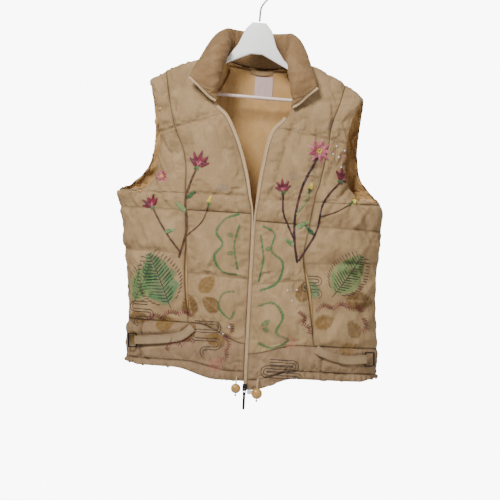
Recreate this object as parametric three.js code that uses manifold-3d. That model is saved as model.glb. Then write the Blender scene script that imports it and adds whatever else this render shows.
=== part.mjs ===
// A quilted vest hanging on a coat hanger. Millimetres, +Z up, the fronts face -Y.
// The origin is the point inside the top of the hook where a rail bears.
// "right" and "left" are the wearer's: the right front is on the -X side.
import * as THREE from "three";
import { mergeVertices } from "three/addons/utils/BufferGeometryUtils.js";
import Module from "manifold-3d";

const wasm = await Module();
wasm.setup();

// ---------------------------------------------------------------- driving sizes
const SEAM_GAP = 0.3; // between two pieces that are sewn together
const PADDED_WALL = 4; // shell, wadding and lining at a seam
const PUFF = 5; // how far the wadding lifts the shell between two seams
const FINITE_STEP = 1e-3; // of a panel's width or height, for its slopes
const SIDE_ROUNDNESS = 2.3; // exponent of the girth's curve from zip to side seam
const SHOULDER_TILT = 0.041; // the wearer's left shoulder hangs lower
const NECK_HALF_WIDTH = 82;
const NECK_DEPTH = 48; // from the shoulder seam back to the middle of the neck seam
const SHOULDER_TOP = -156; // height of the shoulder seam where it meets the collar
const SHOULDER_SLOPE = 0.31;
const SHOULDER_FALL = 7.5e-6; // the slope steepens towards the armhole
const BACK_NECK_DIP = 14; // the neck seam at centre back lies below the shoulder's top

const COLOURS = {
  shell: 0xb0987a,
  lining: 0xaa8c64,
  tape: 0xcdb99b,
  label: 0xd8cbc8,
  darkMetal: 0x3a3836,
  plastic: 0xd9c6bd,
  wire: 0x6f6a66,
  cord: 0xb9a488,
  toggle: 0xc9b596,
  box: 0xd5dde2,
};

const finish = (color, roughness, metalness) =>
  new THREE.MeshStandardMaterial({ color, roughness, metalness });
const MATERIALS = {
  shell: finish(COLOURS.shell, 0.55, 0),
  lining: finish(COLOURS.lining, 0.4, 0),
  tape: finish(COLOURS.tape, 0.7, 0),
  label: finish(COLOURS.label, 0.6, 0),
  darkMetal: finish(COLOURS.darkMetal, 0.35, 1),
  plastic: finish(COLOURS.plastic, 0.4, 0),
  wire: finish(COLOURS.wire, 0.3, 1),
  cord: finish(COLOURS.cord, 0.8, 0),
  toggle: finish(COLOURS.toggle, 0.45, 0),
  box: finish(COLOURS.box, 0.45, 0),
};

// ---------------------------------------------------------------- tables
// A front's rows from the hem up to the shoulder seam. inX and inZ are on the zip or neck edge,
// outX and outZ on the side seam or armhole, inY and outY how far each lies in front of the
// side seam, seam the place of the long shaped seam between them, round how full the girth is.
const HEM = 0;
const CASING = 1;
const BAND = 2;
const CHEST = 5;
const UNDERARM = 6;
const NECK_CORNER = 11;
const SHOULDER = 14;

const FRONT_COLUMNS = ["inX", "inZ", "inY", "outX", "outZ", "outY", "seam", "round"];
const FRONTS = {
  right: {
    outwards: -1,
    rows: table(FRONT_COLUMNS, [
      [9.5, -814, 72, -243, -794, 0, 0.475, 1],
      [9.5, -794, 74, -243, -779, 0, 0.475, 1],
      [9.5, -738, 76, -242, -702, 0, 0.474, 1],
      [9.5, -640, 76, -246, -630, 0, 0.486, 1],
      [9.5, -560, 75, -257, -550, 0, 0.489, 1],
      [8, -476, 72, -270, -473, 0, 0.486, 1],
      [0, -440, 70, -275, -440, 0, 0.469, 1],
      [-9, -400, 67, -243, -442, 8, 0.52, 0.8],
      [-22, -356, 64, -204, -418, 18, 0.605, 0.5],
      [-38, -316, 60, -191, -372, 24, 0.667, 0.35],
      [-58, -280, 53, -191, -325, 27, 0.754, 0.3],
      [-86, -252, 44, -196, -285, 26, 0.766, 0.25],
      [-88, -203, 29, -208, -246, 22, 0.765, 0.2],
      [-84, -160, 14, -221, -218, 13, 0.76, 0.1],
      [-82, -152.6, 0, -223, -212, 0, 0.76, 0],
    ]),
  },
  left: {
    outwards: 1,
    rows: table(FRONT_COLUMNS, [
      [16.5, -831, 74, 272, -804, 0, 0.53, 1],
      [16.5, -810, 76, 272, -787, 0, 0.53, 1],
      [16.5, -758, 78, 271, -736, 0, 0.515, 1],
      [16.5, -650, 78, 262, -635, 0, 0.47, 1],
      [16.5, -572, 77, 264, -556, 0, 0.41, 1],
      [17, -490, 73, 267, -499, 0, 0.437, 1],
      [21, -445, 71, 263, -446, 0, 0.465, 1],
      [26, -400, 69, 241, -447, 8, 0.516, 0.8],
      [31, -366, 66, 203, -422, 18, 0.65, 0.5],
      [36, -334, 62, 189, -380, 24, 0.735, 0.35],
      [46, -304, 55, 189, -332, 27, 0.762, 0.3],
      [68, -276, 46, 194, -292, 26, 0.72, 0.25],
      [84, -220, 31, 206, -254, 22, 0.722, 0.2],
      [84, -168, 14, 216, -236, 13, 0.72, 0.1],
      [82, -159.4, 0, 217, -230, 0, 0.72, 0],
    ]),
  },
};

// The back's rows, hem to shoulder: both side seams or armholes, the depth there and at centre
// back, how much of the shoulder's rise the row has, and how far it has bent to the shoulder.
const BACK_COLUMNS = ["rightX", "rightZ", "leftX", "leftZ", "edgeY", "midY", "lift", "bend"];
const BACK_ROWS = table(BACK_COLUMNS, [
  [-243, -794, 272, -804, 0, 58, 0, 0],
  [-243, -779, 272, -787, 0, 60, 0, 0],
  [-242, -702, 271, -736, 0, 62, 0, 0],
  [-246, -630, 262, -635, 0, 60, 0, 0],
  [-257, -550, 264, -556, 0, 57, 0, 0],
  [-270, -473, 267, -499, 0, 55, 0, 0],
  [-275, -440, 263, -446, 0, 55, 0, 0],
  [-250, -424, 247, -428, 10, 55, 0.06, 0],
  [-223, -392, 221, -398, 18, 54, 0.16, 0],
  [-212, -352, 210, -360, 24, 52, 0.3, 0],
  [-211, -305, 209, -318, 26, 50, 0.47, 0],
  [-216, -262, 213, -278, 24, 49, 0.66, 0.1],
  [-221, -232, 216, -248, 19, 48, 0.85, 0.25],
  [-223, -218, 217, -236, 13, 48, 0.95, 0.62],
  [-223, -212, 217, -230, 0, 48, 1, 1],
]);

// The collar's stations from a front corner round to centre back, on the left side: its middle
// layer at the neck seam, a third and two thirds up, and at the free edge.
const COLLAR_COLUMNS = [
  "seamX", "seamY", "seamZ", "lowX", "lowY", "lowZ",
  "highX", "highY", "highZ", "edgeX", "edgeY", "edgeZ",
];
const COLLAR_STATIONS = table(COLLAR_COLUMNS, [
  [77, -52, -252, 93, -57, -240, 112, -60, -222, 131, -56, -207],
  [81, -42, -232, 79, -60, -217, 98, -64, -199, 125, -45, -189],
  [82, -30, -206, 72, -48, -188, 84, -53, -166, 114, -30, -165],
  [80.5, -17, -178, 67, -28, -158, 74, -29, -138, 103, -14, -138],
  [76.5, 0, -152, 66, -5, -138, 68, -4, -118, 88, 0, -113],
  [68, 18, -159, 65, 15, -139, 64, 17, -117, 69, 16, -98],
  [54, 30, -162.6, 53, 32, -142, 52, 36, -119, 53, 36, -97],
  [28, 41.5, -167.2, 28, 45, -145, 28, 50, -121, 28, 50, -98],
  [0, 45, -168.8, 0, 49, -146, 0, 53, -121, 0, 53, -98],
]);

// The largest folds of the fronts, as lines on the front view: ends, half width and height.
const FOLD_COLUMNS = ["side", "x1", "z1", "x2", "z2", "width", "height"];
const FOLDS = table(FOLD_COLUMNS, [
  ["left", 80, -285, 52, -410, 8, -6],
  ["left", 52, -410, 24, -490, 8, -5],
  ["left", 62, -320, 38, -420, 9, 4],
  ["left", 190, -425, 248, -470, 9, -5],
  ["left", 120, -330, 112, -470, 14, 4],
  ["right", -70, -290, -30, -420, 11, 5],
  ["right", -195, -425, -255, -462, 9, -5],
  ["right", -120, -330, -96, -455, 14, 4],
  ["right", -60, -520, -70, -690, 16, 4],
  ["left", 70, -540, 84, -720, 16, 4],
]);

function table(columns, rows) {
  return rows.map((row) => Object.fromEntries(columns.map((key, i) => [key, row[i]])));
}

// ---------------------------------------------------------------- surfaces
function spline(a, b, c, d, f) {
  const m1 = (c - a) / 2;
  const m2 = (d - b) / 2;
  const f2 = f * f;
  const f3 = f2 * f;
  return (2 * f3 - 3 * f2 + 1) * b + (f3 - 2 * f2 + f) * m1 + (3 * f2 - 2 * f3) * c + (f3 - f2) * m2;
}

// The row at place v of a table, v counting its rows.
function rowAt(rows, v) {
  const last = rows.length - 1;
  const i = THREE.MathUtils.clamp(Math.floor(v), 0, last - 1);
  const near = [-1, 0, 1, 2].map((k) => rows[THREE.MathUtils.clamp(i + k, 0, last)]);
  const out = {};
  for (const key of Object.keys(rows[0])) {
    out[key] = spline(...near.map((row) => row[key]), v - i);
  }
  return out;
}

const mix = THREE.MathUtils.lerp;
const girth = (u) => Math.pow(Math.max(0, 1 - Math.pow(Math.abs(u), SIDE_ROUNDNESS)), 1 / SIDE_ROUNDNESS);

function foldHeight(sideName, x, z) {
  let height = 0;
  for (const fold of FOLDS) {
    if (fold.side !== sideName) continue;
    const dx = fold.x2 - fold.x1;
    const dz = fold.z2 - fold.z1;
    const along = ((x - fold.x1) * dx + (z - fold.z1) * dz) / (dx * dx + dz * dz);
    const t = THREE.MathUtils.clamp(along, 0, 1);
    const away = Math.hypot(x - fold.x1 - t * dx, z - fold.z1 - t * dz) / fold.width;
    height += fold.height * Math.exp(-away * away);
  }
  return height;
}

// How a front's lower rows fall from their side level to their zip level: no fall up to the
// first share of the way in from the side seam, all of it from the second.
const FALL = {
  right: { hem: [0.42, 0.78], band: [0.6, 1] },
  left: { hem: [0.62, 0.97], band: [0.6, 1] },
};
const CORNER_LIFT = 9; // the hem turns up at its side corners

function fallShare(sideName, u, v) {
  const inwards = 1 - u;
  if (v >= CHEST) return inwards;
  const { hem, band } = FALL[sideName];
  const up = THREE.MathUtils.clamp(v / BAND, 0, 1);
  const shaped = THREE.MathUtils.smoothstep(inwards, mix(hem[0], band[0], up), mix(hem[1], band[1], up));
  return mix(shaped, inwards, THREE.MathUtils.smoothstep(v, BAND, CHEST));
}

// A front's shell: u from the zip (0) to the side seam or armhole (1), v in rows of its table.
function frontPoint(sideName, u, v) {
  const row = rowAt(FRONTS[sideName].rows, v);
  const x = mix(row.inX, row.outX, u);
  const corner = CORNER_LIFT * THREE.MathUtils.smoothstep(u, 0.88, 1) * Math.max(0, 1 - v);
  const bow = (topZ(x) - mix(topZ(row.inX), topZ(row.outX), u)) * THREE.MathUtils.smoothstep(v, 11.5, 13);
  const z = mix(row.outZ, row.inZ, fallShare(sideName, u, v)) + corner + bow;
  const curve = mix(1 - u * u, girth(u), row.round);
  const depth = mix(row.outY, row.inY, curve);
  const calm = Math.min(1, 4 * u) * Math.min(1, (1 - u) * 6) * Math.min(1, (SHOULDER - v) / 2);
  return new THREE.Vector3(x, -depth - calm * foldHeight(sideName, x, z), z);
}

// The height of the shoulder and neck seam at x.
function topZ(x) {
  const reach = Math.abs(x);
  const past = reach - NECK_HALF_WIDTH;
  const level =
    reach > NECK_HALF_WIDTH
      ? SHOULDER_TOP - past * SHOULDER_SLOPE - past ** 3 * SHOULDER_FALL
      : SHOULDER_TOP - BACK_NECK_DIP * (1 - (reach / NECK_HALF_WIDTH) ** 2);
  return level - x * SHOULDER_TILT;
}

const topY = (x) => NECK_DEPTH * Math.pow(Math.max(0, 1 - (x / NECK_HALF_WIDTH) ** 2), 0.6);

// The back's shell: u from the right side seam (0) to the left (1), v in rows of its table.
function backPoint(u, v) {
  const row = rowAt(BACK_ROWS, v);
  const x = mix(row.rightX, row.leftX, u);
  const across = 2 * u - 1;
  const body = row.edgeY + (row.midY - row.edgeY) * mix(1 - across * across, girth(across), v < UNDERARM ? 1 : 0.5);
  const rise = topZ(x) - mix(topZ(row.rightX), topZ(row.leftX), u);
  const edge = Math.min(1, (1 - Math.abs(across)) * 12);
  const bent = row.bend * edge;
  const corner = CORNER_LIFT * THREE.MathUtils.smoothstep(Math.abs(across), 0.76, 1) * Math.max(0, 1 - v);
  return new THREE.Vector3(x, mix(body, topY(x), bent), mix(row.rightZ, row.leftZ, u) + rise * row.lift + corner);
}

const COLLAR_LEAN = 4; // the free edge leans to the wearer's right

// The collar's middle layer: u from the right front corner (0) to the left (1), w from the neck
// seam (0) to the free edge (1).
function collarPoint(u, w) {
  const side = u < 0.5 ? -1 : 1;
  const last = COLLAR_STATIONS.length - 1;
  const station = rowAt(COLLAR_STATIONS, (1 - Math.abs(2 * u - 1)) * last);
  const rows = ["seam", "low", "high", "edge"].map((key) => ({
    x: side * station[key + "X"],
    y: station[key + "Y"],
    z: station[key + "Z"],
  }));
  const p = rowAt(rows, w * (rows.length - 1));
  return new THREE.Vector3(p.x - COLLAR_LEAN * w, p.y, p.z - p.x * SHOULDER_TILT);
}

// ---------------------------------------------------------------- closed walls
function clampedSlope(point, s, t) {
  const s0 = Math.max(s - FINITE_STEP, 0);
  const s1 = Math.min(s + FINITE_STEP, 1);
  const t0 = Math.max(t - FINITE_STEP, 0);
  const t1 = Math.min(t + FINITE_STEP, 1);
  const across = point(s1, t).sub(point(s0, t));
  const along = point(s, t1).sub(point(s, t0));
  return across.cross(along).normalize();
}

const evenly = (count) => Array.from({ length: count + 1 }, (_, i) => i / count);

// A closed wall over a surface. point(s, t) gives the surface, facing a direction that its outer
// side looks to at the middle, over and under how far the wall reaches on each side of it, and
// keep (optional) moves a point that must stay on its own side of a seam. cells holds the places
// of the columns and of the rows, from 0 to 1.
function wall({ point, facing, cells, over, under, keep = (p) => p }) {
  const [columns, rows] = cells.map((places) => places.length - 1);
  const sign = Math.sign(clampedSlope(point, 0.5, 0.5).dot(facing)) || 1;
  const outer = [];
  const inner = [];
  for (let j = 0; j <= rows; j++) {
    for (let i = 0; i <= columns; i++) {
      const s = cells[0][i];
      const t = cells[1][j];
      const p = point(s, t);
      const n = clampedSlope(point, s, t).multiplyScalar(sign);
      outer.push(keep(p.clone().addScaledVector(n, over(s, t))));
      inner.push(keep(p.clone().addScaledVector(n, -under(s, t))));
    }
  }
  const all = [...outer, ...inner];
  const count = outer.length;
  const index = [];
  const quad = (a, b, c, d) => {
    if (sign > 0) index.push(a, b, c, a, c, d);
    else index.push(a, c, b, a, d, c);
  };
  const at = (i, j) => j * (columns + 1) + i;
  for (let j = 0; j < rows; j++) {
    for (let i = 0; i < columns; i++) {
      quad(at(i, j), at(i + 1, j), at(i + 1, j + 1), at(i, j + 1));
      quad(count + at(i, j), count + at(i, j + 1), count + at(i + 1, j + 1), count + at(i + 1, j));
    }
  }
  for (let i = 0; i < columns; i++) {
    quad(at(i, 0), count + at(i, 0), count + at(i + 1, 0), at(i + 1, 0));
    quad(at(i + 1, rows), count + at(i + 1, rows), count + at(i, rows), at(i, rows));
  }
  for (let j = 0; j < rows; j++) {
    quad(at(0, j + 1), count + at(0, j + 1), count + at(0, j), at(0, j));
    quad(at(columns, j), count + at(columns, j), count + at(columns, j + 1), at(columns, j + 1));
  }
  const geometry = new THREE.BufferGeometry().setFromPoints(all);
  geometry.setIndex(index);
  geometry.computeVertexNormals();
  return geometry;
}

const puffCurve = (x) => Math.pow(Math.max(0, Math.sin(Math.PI * x)), 0.6);

// Wadding lifts the shell between channels, which are the rows v where it is stitched down.
function quilted(rowOf, channels, height = PUFF) {
  return (s, t) => {
    const v = rowOf(t);
    let k = 0;
    while (k < channels.length - 2 && v > channels[k + 1]) k++;
    const part = THREE.MathUtils.clamp((v - channels[k]) / (channels[k + 1] - channels[k]), 0, 1);
    return height * puffCurve(part) * puffCurve(s);
  };
}

const inFront = (p) => p.setY(Math.min(p.y, -SEAM_GAP / 2));
const behind = (p) => p.setY(Math.max(p.y, SEAM_GAP / 2));
const constant = (value) => () => value;

const root = new THREE.Group();
function add(name, geometry, material, parent = root) {
  const mesh = new THREE.Mesh(geometry, material);
  mesh.name = name;
  parent.add(mesh);
  return mesh;
}

// ---------------------------------------------------------------- fronts
const SEAM_STEP = SEAM_GAP / 2;
const PANEL_WIDTH = 265; // a front from zip to side seam, for turning a gap into a share of it
const ROW_HEIGHT = 60; // a row of the tables, for turning a gap into a share of one
const POCKET = { right: [2.15, 4.3], left: [2.2, 4.05] }; // rows that the pocket mouths span
const POCKET_GAPE = 3.2;
const FRONT_PUFF = { centre: 5, side: 5, band: 4.5, casing: 4 };

const seamU = (sideName, v) => rowAt(FRONTS[sideName].rows, v).seam;
const gap = SEAM_STEP / PANEL_WIDTH;
const rowGap = SEAM_STEP / ROW_HEIGHT;

function pocketGape(sideName, v) {
  const [low, high] = POCKET[sideName];
  const part = THREE.MathUtils.clamp((v - low) / (high - low), 0, 1);
  return (POCKET_GAPE * Math.sin(Math.PI * part)) / PANEL_WIDTH;
}

// The heights of the walls' own rows, the same on both sides of a long seam, so that the pieces
// meet evenly: three to a row of the tables below the chest seam and two above it.
function levelsBetween([low, high]) {
  const levels = [0];
  for (let row = HEM; row < SHOULDER; row++) {
    const count = row < CHEST ? 3 : 2;
    for (let k = 0; k < count; k++) {
      const v = row + k / count;
      if (v > low && v < high) levels.push((v - low) / (high - low));
    }
  }
  levels.push(1);
  return levels;
}

// One piece of a front between two rows; placeOf(s, v) is its u at the share s of its width.
function frontPiece({ sideName, rows, placeOf, columns, channels, height }) {
  const [low, high] = [rows[0] + rowGap, rows[1] - rowGap];
  const rowOf = (t) => mix(low, high, t);
  const point = (s, t) => {
    const v = rowOf(t);
    return frontPoint(sideName, placeOf(s, v), v);
  };
  return wall({
    point,
    facing: new THREE.Vector3(FRONTS[sideName].outwards * 0.2, -1, 0),
    cells: [evenly(columns), levelsBetween([low, high])],
    over: quilted(rowOf, channels, height),
    under: constant(PADDED_WALL),
    keep: inFront,
  });
}

// Columns crowd towards the side seam, where the shell turns.
const easeToSide = (s) => Math.sin((s * Math.PI) / 2);

function addFront(sideName) {
  const beforeSeam = (v) => seamU(sideName, v) - gap;
  const afterSeam = (v) => seamU(sideName, v) + gap + pocketGape(sideName, v);
  const inCentre = (s, v) => mix(0, beforeSeam(v), s);
  const inSide = (s, v) => mix(afterSeam(v), 1, easeToSide(s));
  const wholeFront = (s, v) => (s < 0.5 ? inCentre(2 * s, v) : mix(seamU(sideName, v), 1, easeToSide(2 * s - 1)));
  const name = (piece) => "front_" + sideName + "_" + piece;
  const casing = frontPiece({
    sideName, rows: [HEM, CASING], placeOf: wholeFront, columns: 16, channels: [HEM, CASING],
    height: FRONT_PUFF.casing,
  });
  const band = frontPiece({
    sideName, rows: [CASING, BAND], placeOf: wholeFront, columns: 16, channels: [CASING, BAND],
    height: FRONT_PUFF.band,
  });
  const lower = frontPiece({
    sideName, rows: [BAND, CHEST], placeOf: inCentre, columns: 8, channels: [BAND, 3.4, CHEST],
    height: FRONT_PUFF.centre,
  });
  const upper = frontPiece({
    sideName, rows: [CHEST, SHOULDER], placeOf: inCentre, columns: 8,
    channels: [CHEST, UNDERARM, 10.2, SHOULDER], height: FRONT_PUFF.centre,
  });
  const sidePiece = frontPiece({
    sideName, rows: [BAND, SHOULDER], placeOf: inSide, columns: 8,
    channels: [BAND, 3.9, CHEST, UNDERARM, 10.2, SHOULDER], height: FRONT_PUFF.side,
  });
  add(name("hem_casing"), casing, MATERIALS.shell);
  add(name("band"), band, MATERIALS.shell);
  add(name("centre_lower"), lower, MATERIALS.shell);
  add(name("centre_upper"), upper, MATERIALS.shell);
  add(name("side"), sidePiece, MATERIALS.shell);
  addPocketFacing(sideName);
  addZipTape(sideName);
  addStrap(sideName);
}

// What shows in a pocket's mouth is its facing, a strip behind the long seam.
const FACING = { halfWidth: 12, behindShell: PADDED_WALL + 0.6, thickness: 1.2 };
function addPocketFacing(sideName) {
  const [low, high] = POCKET[sideName];
  const half = FACING.halfWidth / PANEL_WIDTH;
  const point = (s, t) => {
    const v = mix(low, high, t);
    return frontPoint(sideName, seamU(sideName, v) + mix(-half, half, s), v);
  };
  const geometry = wall({
    point,
    facing: new THREE.Vector3(0, -1, 0),
    cells: [evenly(2), evenly(8)],
    over: constant(-FACING.behindShell),
    under: constant(FACING.behindShell + FACING.thickness),
  });
  add("pocket_facing_" + sideName, geometry, MATERIALS.lining);
}

// ---------------------------------------------------------------- zip
// The slider holds the zip together only at the hem, so above the chest each tape follows its
// own front edge, and then the collar's.
const TAPE_FOOT = { right: HEM - 0.6, left: HEM + 0.1 }; // both tapes end at the slider
const TAPE = { clear: 0.8, closedWidth: 2.2, openWidth: 5, below: 1, thickness: 1.5 };
function tapeWidth(v) {
  return mix(TAPE.closedWidth, TAPE.openWidth, THREE.MathUtils.smoothstep(v, CHEST, UNDERARM + 1));
}

// The direction that leaves a surface squarely at its edge: at(t) runs along the edge and
// within(t) a little inside it.
function awayFromEdge(at, within, t) {
  const along = at(t + 0.01).sub(at(t - 0.01)).normalize();
  const out = at(t).sub(within(t));
  return out.addScaledVector(along, -out.dot(along)).normalize();
}

function addZipTape(sideName) {
  const ends = [TAPE_FOOT[sideName], NECK_CORNER - 0.5];
  const frontEdge = (v) => frontPoint(sideName, 0, v);
  const frontWithin = (v) => frontPoint(sideName, 0.02, v);
  const point = (s, t) => {
    const v = mix(...ends, t);
    const away = awayFromEdge(frontEdge, frontWithin, v);
    return frontEdge(v).addScaledVector(away, mix(TAPE.clear, TAPE.clear + tapeWidth(v), s));
  };
  const geometry = wall({
    point,
    facing: new THREE.Vector3(0, -1, 0),
    cells: [evenly(1), levelsBetween(ends)],
    over: constant(-TAPE.below),
    under: constant(TAPE.below + TAPE.thickness),
  });
  add("zip_tape_" + sideName, geometry, MATERIALS.tape);
  const end = sideName === "right" ? 0 : 1;
  const nearEnd = end === 0 ? 0.02 : 0.98;
  const collarEdge = (w) => collarPoint(end, w);
  const collarWithin = (w) => collarPoint(nearEnd, w);
  const collarTape = (s, t) => {
    const w = mix(0.16, 0.96, t);
    const away = awayFromEdge(collarEdge, collarWithin, w);
    return collarEdge(w).addScaledVector(away, mix(TAPE.clear, TAPE.openWidth, s));
  };
  const collarGeometry = wall({
    point: collarTape,
    facing: new THREE.Vector3(0, -1, 0),
    cells: [evenly(1), evenly(8)],
    over: constant(TAPE.thickness / 2),
    under: constant(TAPE.thickness / 2),
  });
  add("zip_tape_collar_" + sideName, collarGeometry, MATERIALS.tape);
}

// A plate cut to a shape given in x and z, its front face at y = frontY.
function plate(shape, thickness, frontY, curveSegments = 6) {
  const geometry = new THREE.ExtrudeGeometry(shape, {
    depth: thickness,
    bevelEnabled: false,
    curveSegments,
  });
  geometry.rotateX(Math.PI / 2);
  geometry.translate(0, frontY + thickness, 0);
  return geometry;
}

function roundedRectangle(width, height, radius, path = new THREE.Shape()) {
  const x = width / 2;
  const z = height / 2;
  path.moveTo(-x + radius, -z);
  path.lineTo(x - radius, -z);
  path.absarc(x - radius, -z + radius, radius, -Math.PI / 2, 0, false);
  path.lineTo(x, z - radius);
  path.absarc(x - radius, z - radius, radius, 0, Math.PI / 2, false);
  path.lineTo(-x + radius, z);
  path.absarc(-x + radius, z - radius, radius, Math.PI / 2, Math.PI, false);
  path.lineTo(-x, -z + radius);
  path.absarc(-x + radius, -z + radius, radius, Math.PI, 1.5 * Math.PI, false);
  return path;
}

function solidOf(geometry) {
  const bare = geometry.clone();
  bare.deleteAttribute("normal");
  bare.deleteAttribute("uv");
  const merged = mergeVertices(bare, 1e-3);
  return new wasm.Manifold(
    new wasm.Mesh({
      numProp: 3,
      vertProperties: new Float32Array(merged.attributes.position.array),
      triVerts: new Uint32Array(merged.index.array),
    }),
  );
}

function geometryOf(solid) {
  const mesh = solid.getMesh();
  const geometry = new THREE.BufferGeometry();
  geometry.setAttribute("position", new THREE.BufferAttribute(new Float32Array(mesh.vertProperties), 3));
  geometry.setIndex(new THREE.BufferAttribute(new Uint32Array(mesh.triVerts), 1));
  geometry.computeVertexNormals();
  return geometry;
}

const SLIDER = { x: 13, z: -826, width: 9, height: 15, thickness: 3, backY: -75.4 };
const BRIDGE = { inner: 1.7, outer: 3.3, width: 2.4 };
const PULL = { width: 6.4, length: 41, thickness: 1.1, windowWidth: 3.4, windowLength: 4.4, barHalf: 0.5 };
const PULL_CLEAR = 0.3; // between the pull and the slider's face behind it
const bridgeFoot = new THREE.Vector3(SLIDER.x, SLIDER.backY - SLIDER.thickness, SLIDER.z - 4);

function addSlider() {
  const body = plate(roundedRectangle(SLIDER.width, SLIDER.height, 2.5), SLIDER.thickness, 0);
  body.translate(SLIDER.x, SLIDER.backY - SLIDER.thickness, SLIDER.z);
  const arch = new THREE.Shape();
  arch.absarc(0, 0, BRIDGE.outer, -Math.PI / 2, Math.PI / 2, false);
  arch.lineTo(-0.6, BRIDGE.outer);
  arch.lineTo(-0.6, BRIDGE.inner);
  arch.absarc(0, 0, BRIDGE.inner, Math.PI / 2, -Math.PI / 2, true);
  arch.lineTo(-0.6, -BRIDGE.inner);
  arch.lineTo(-0.6, -BRIDGE.outer);
  const bridge = new THREE.ExtrudeGeometry(arch, {
    depth: BRIDGE.width,
    bevelEnabled: false,
    curveSegments: 6,
  });
  bridge.translate(0, 0, -BRIDGE.width / 2);
  bridge.applyMatrix4(
    new THREE.Matrix4().makeBasis(
      new THREE.Vector3(0, -1, 0),
      new THREE.Vector3(0, 0, 1),
      new THREE.Vector3(-1, 0, 0),
    ),
  );
  bridge.translate(bridgeFoot.x, bridgeFoot.y, bridgeFoot.z);
  add("zip_slider", geometryOf(solidOf(body).add(solidOf(bridge))), MATERIALS.darkMetal);
}

// The pull hangs from its top bar, which lies in the slider's bridge and turns there.
function addPull() {
  const top = PULL.barHalf;
  const bottom = -PULL.length;
  const half = PULL.width / 2;
  const outline = new THREE.Shape();
  outline.moveTo(-half, top);
  outline.lineTo(-half, -9);
  outline.lineTo(-half + 0.6, -12);
  outline.lineTo(-half + 0.6, bottom + 3);
  outline.absarc(0, bottom + half - 0.6, half - 0.6, Math.PI, 2 * Math.PI, false);
  outline.lineTo(half - 0.6, -12);
  outline.lineTo(half, -9);
  outline.lineTo(half, top);
  const slot = new THREE.Path();
  const slotHalf = PULL.windowWidth / 2;
  slot.moveTo(-slotHalf, -PULL.barHalf);
  slot.lineTo(-slotHalf, -PULL.barHalf - PULL.windowLength);
  slot.lineTo(slotHalf, -PULL.barHalf - PULL.windowLength);
  slot.lineTo(slotHalf, -PULL.barHalf);
  outline.holes.push(slot);
  const geometry = plate(outline, PULL.thickness, -PULL.thickness / 2, 8);
  const mesh = add("zip_pull", geometry, MATERIALS.darkMetal);
  mesh.position.copy(bridgeFoot);
  mesh.position.y -= PULL.thickness / 2 + PULL_CLEAR;
}

const RETAINER = { x: 23.4, z: -835, width: 10, height: 8, thickness: 4, frontY: -80 };
function addRetainer() {
  const geometry = plate(roundedRectangle(RETAINER.width, RETAINER.height, 1.5), RETAINER.thickness, 0, 3);
  geometry.translate(RETAINER.x, RETAINER.frontY, RETAINER.z);
  add("zip_retainer", geometry, MATERIALS.box);
}

// ---------------------------------------------------------------- side straps
// Each strap is sewn into the long seam, runs to a metal ring by the side seam, turns round the
// ring's bar and comes back as a short tab with a round end.
const STRAP = { halfHeight: 8.5, thickness: 2.2, clear: 0.5, layer: 0.5, round: 0.9 };
const STRAP_PATHS = {
  right: table(["u", "v"], [[0.43, 1.88], [0.52, 1.66], [0.68, 1.56], [0.88, 1.5]]),
  left: table(["u", "v"], [[0.53, 1.93], [0.63, 1.76], [0.76, 1.63], [0.9, 1.68]]),
};
const TAB_SHARE = 0.5; // of the strap's length, that the tab covers on its way back
const RING = { width: 30, length: 22, wire: 2.4 };

const outerLift = Math.max(...Object.values(FRONT_PUFF));

// A frame on a front's outside: a point and its across, up and outward directions.
function strapFrame(sideName, share) {
  const path = STRAP_PATHS[sideName];
  const at = (k) => {
    const { u, v } = rowAt(path, k * (path.length - 1));
    return frontPoint(sideName, u, v);
  };
  const place = at(share);
  const along = at(share + 0.01).sub(at(share - 0.01)).normalize();
  const upHint = new THREE.Vector3(0, 0, 1);
  const normal = along.clone().cross(upHint).normalize();
  if (normal.y > 0) normal.negate();
  const up = normal.clone().cross(along).normalize();
  if (up.z < 0) up.negate();
  return { place, along, up, normal };
}

function addStrap(sideName) {
  const lower = 16; // steps along the under layer
  const turn = 6; // steps round the ring's bar
  const upper = 9; // steps back along the tab
  const barLift = RING.wire / 2 + STRAP.thickness / 2 + STRAP.round;
  const base = outerLift + STRAP.clear + STRAP.thickness / 2;
  const end = strapFrame(sideName, 1);
  const stations = [];
  for (let i = 0; i <= lower; i++) {
    const share = i / lower;
    const frame = strapFrame(sideName, share);
    const sewn = THREE.MathUtils.smoothstep(share, 0, 0.12);
    stations.push({ ...frame, lift: base - 3 * (1 - sewn), facing: 1, half: STRAP.halfHeight });
  }
  for (let i = 1; i < turn; i++) {
    const angle = (Math.PI * i) / turn;
    const place = end.place.clone().addScaledVector(end.along, barLift * Math.sin(angle));
    const lift = base + barLift * (1 - Math.cos(angle));
    const tilt = angle;
    stations.push({ ...end, place, lift, facing: Math.cos(tilt), lean: Math.sin(tilt), half: STRAP.halfHeight });
  }
  for (let i = 0; i <= upper; i++) {
    const back = i / upper;
    const frame = strapFrame(sideName, 1 - TAB_SHARE * back);
    const settle = THREE.MathUtils.smoothstep(back, 0, 0.6);
    const lift = base + mix(2 * barLift, STRAP.thickness + STRAP.layer, settle);
    const tip = THREE.MathUtils.clamp((back - 0.86) / 0.14, 0, 1);
    stations.push({ ...frame, lift, facing: -1, half: STRAP.halfHeight * Math.sqrt(1 - 0.8 * tip * tip) });
  }
  const corners = [];
  for (const station of stations) {
    const centre = station.place.clone().addScaledVector(station.normal, station.lift);
    const lean = station.lean ?? 0;
    const across = station.normal.clone().multiplyScalar(station.facing);
    across.addScaledVector(station.along, -lean).normalize();
    for (const [high, out] of [[-1, 1], [1, 1], [1, -1], [-1, -1]]) {
      corners.push(
        centre
          .clone()
          .addScaledVector(station.up, high * station.half)
          .addScaledVector(across, (out * STRAP.thickness) / 2),
      );
    }
  }
  add("side_strap_" + sideName, tubeOf(corners, 4, sideName === "right"), MATERIALS.shell);
  addRing(sideName, end, base + barLift);
}

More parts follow.
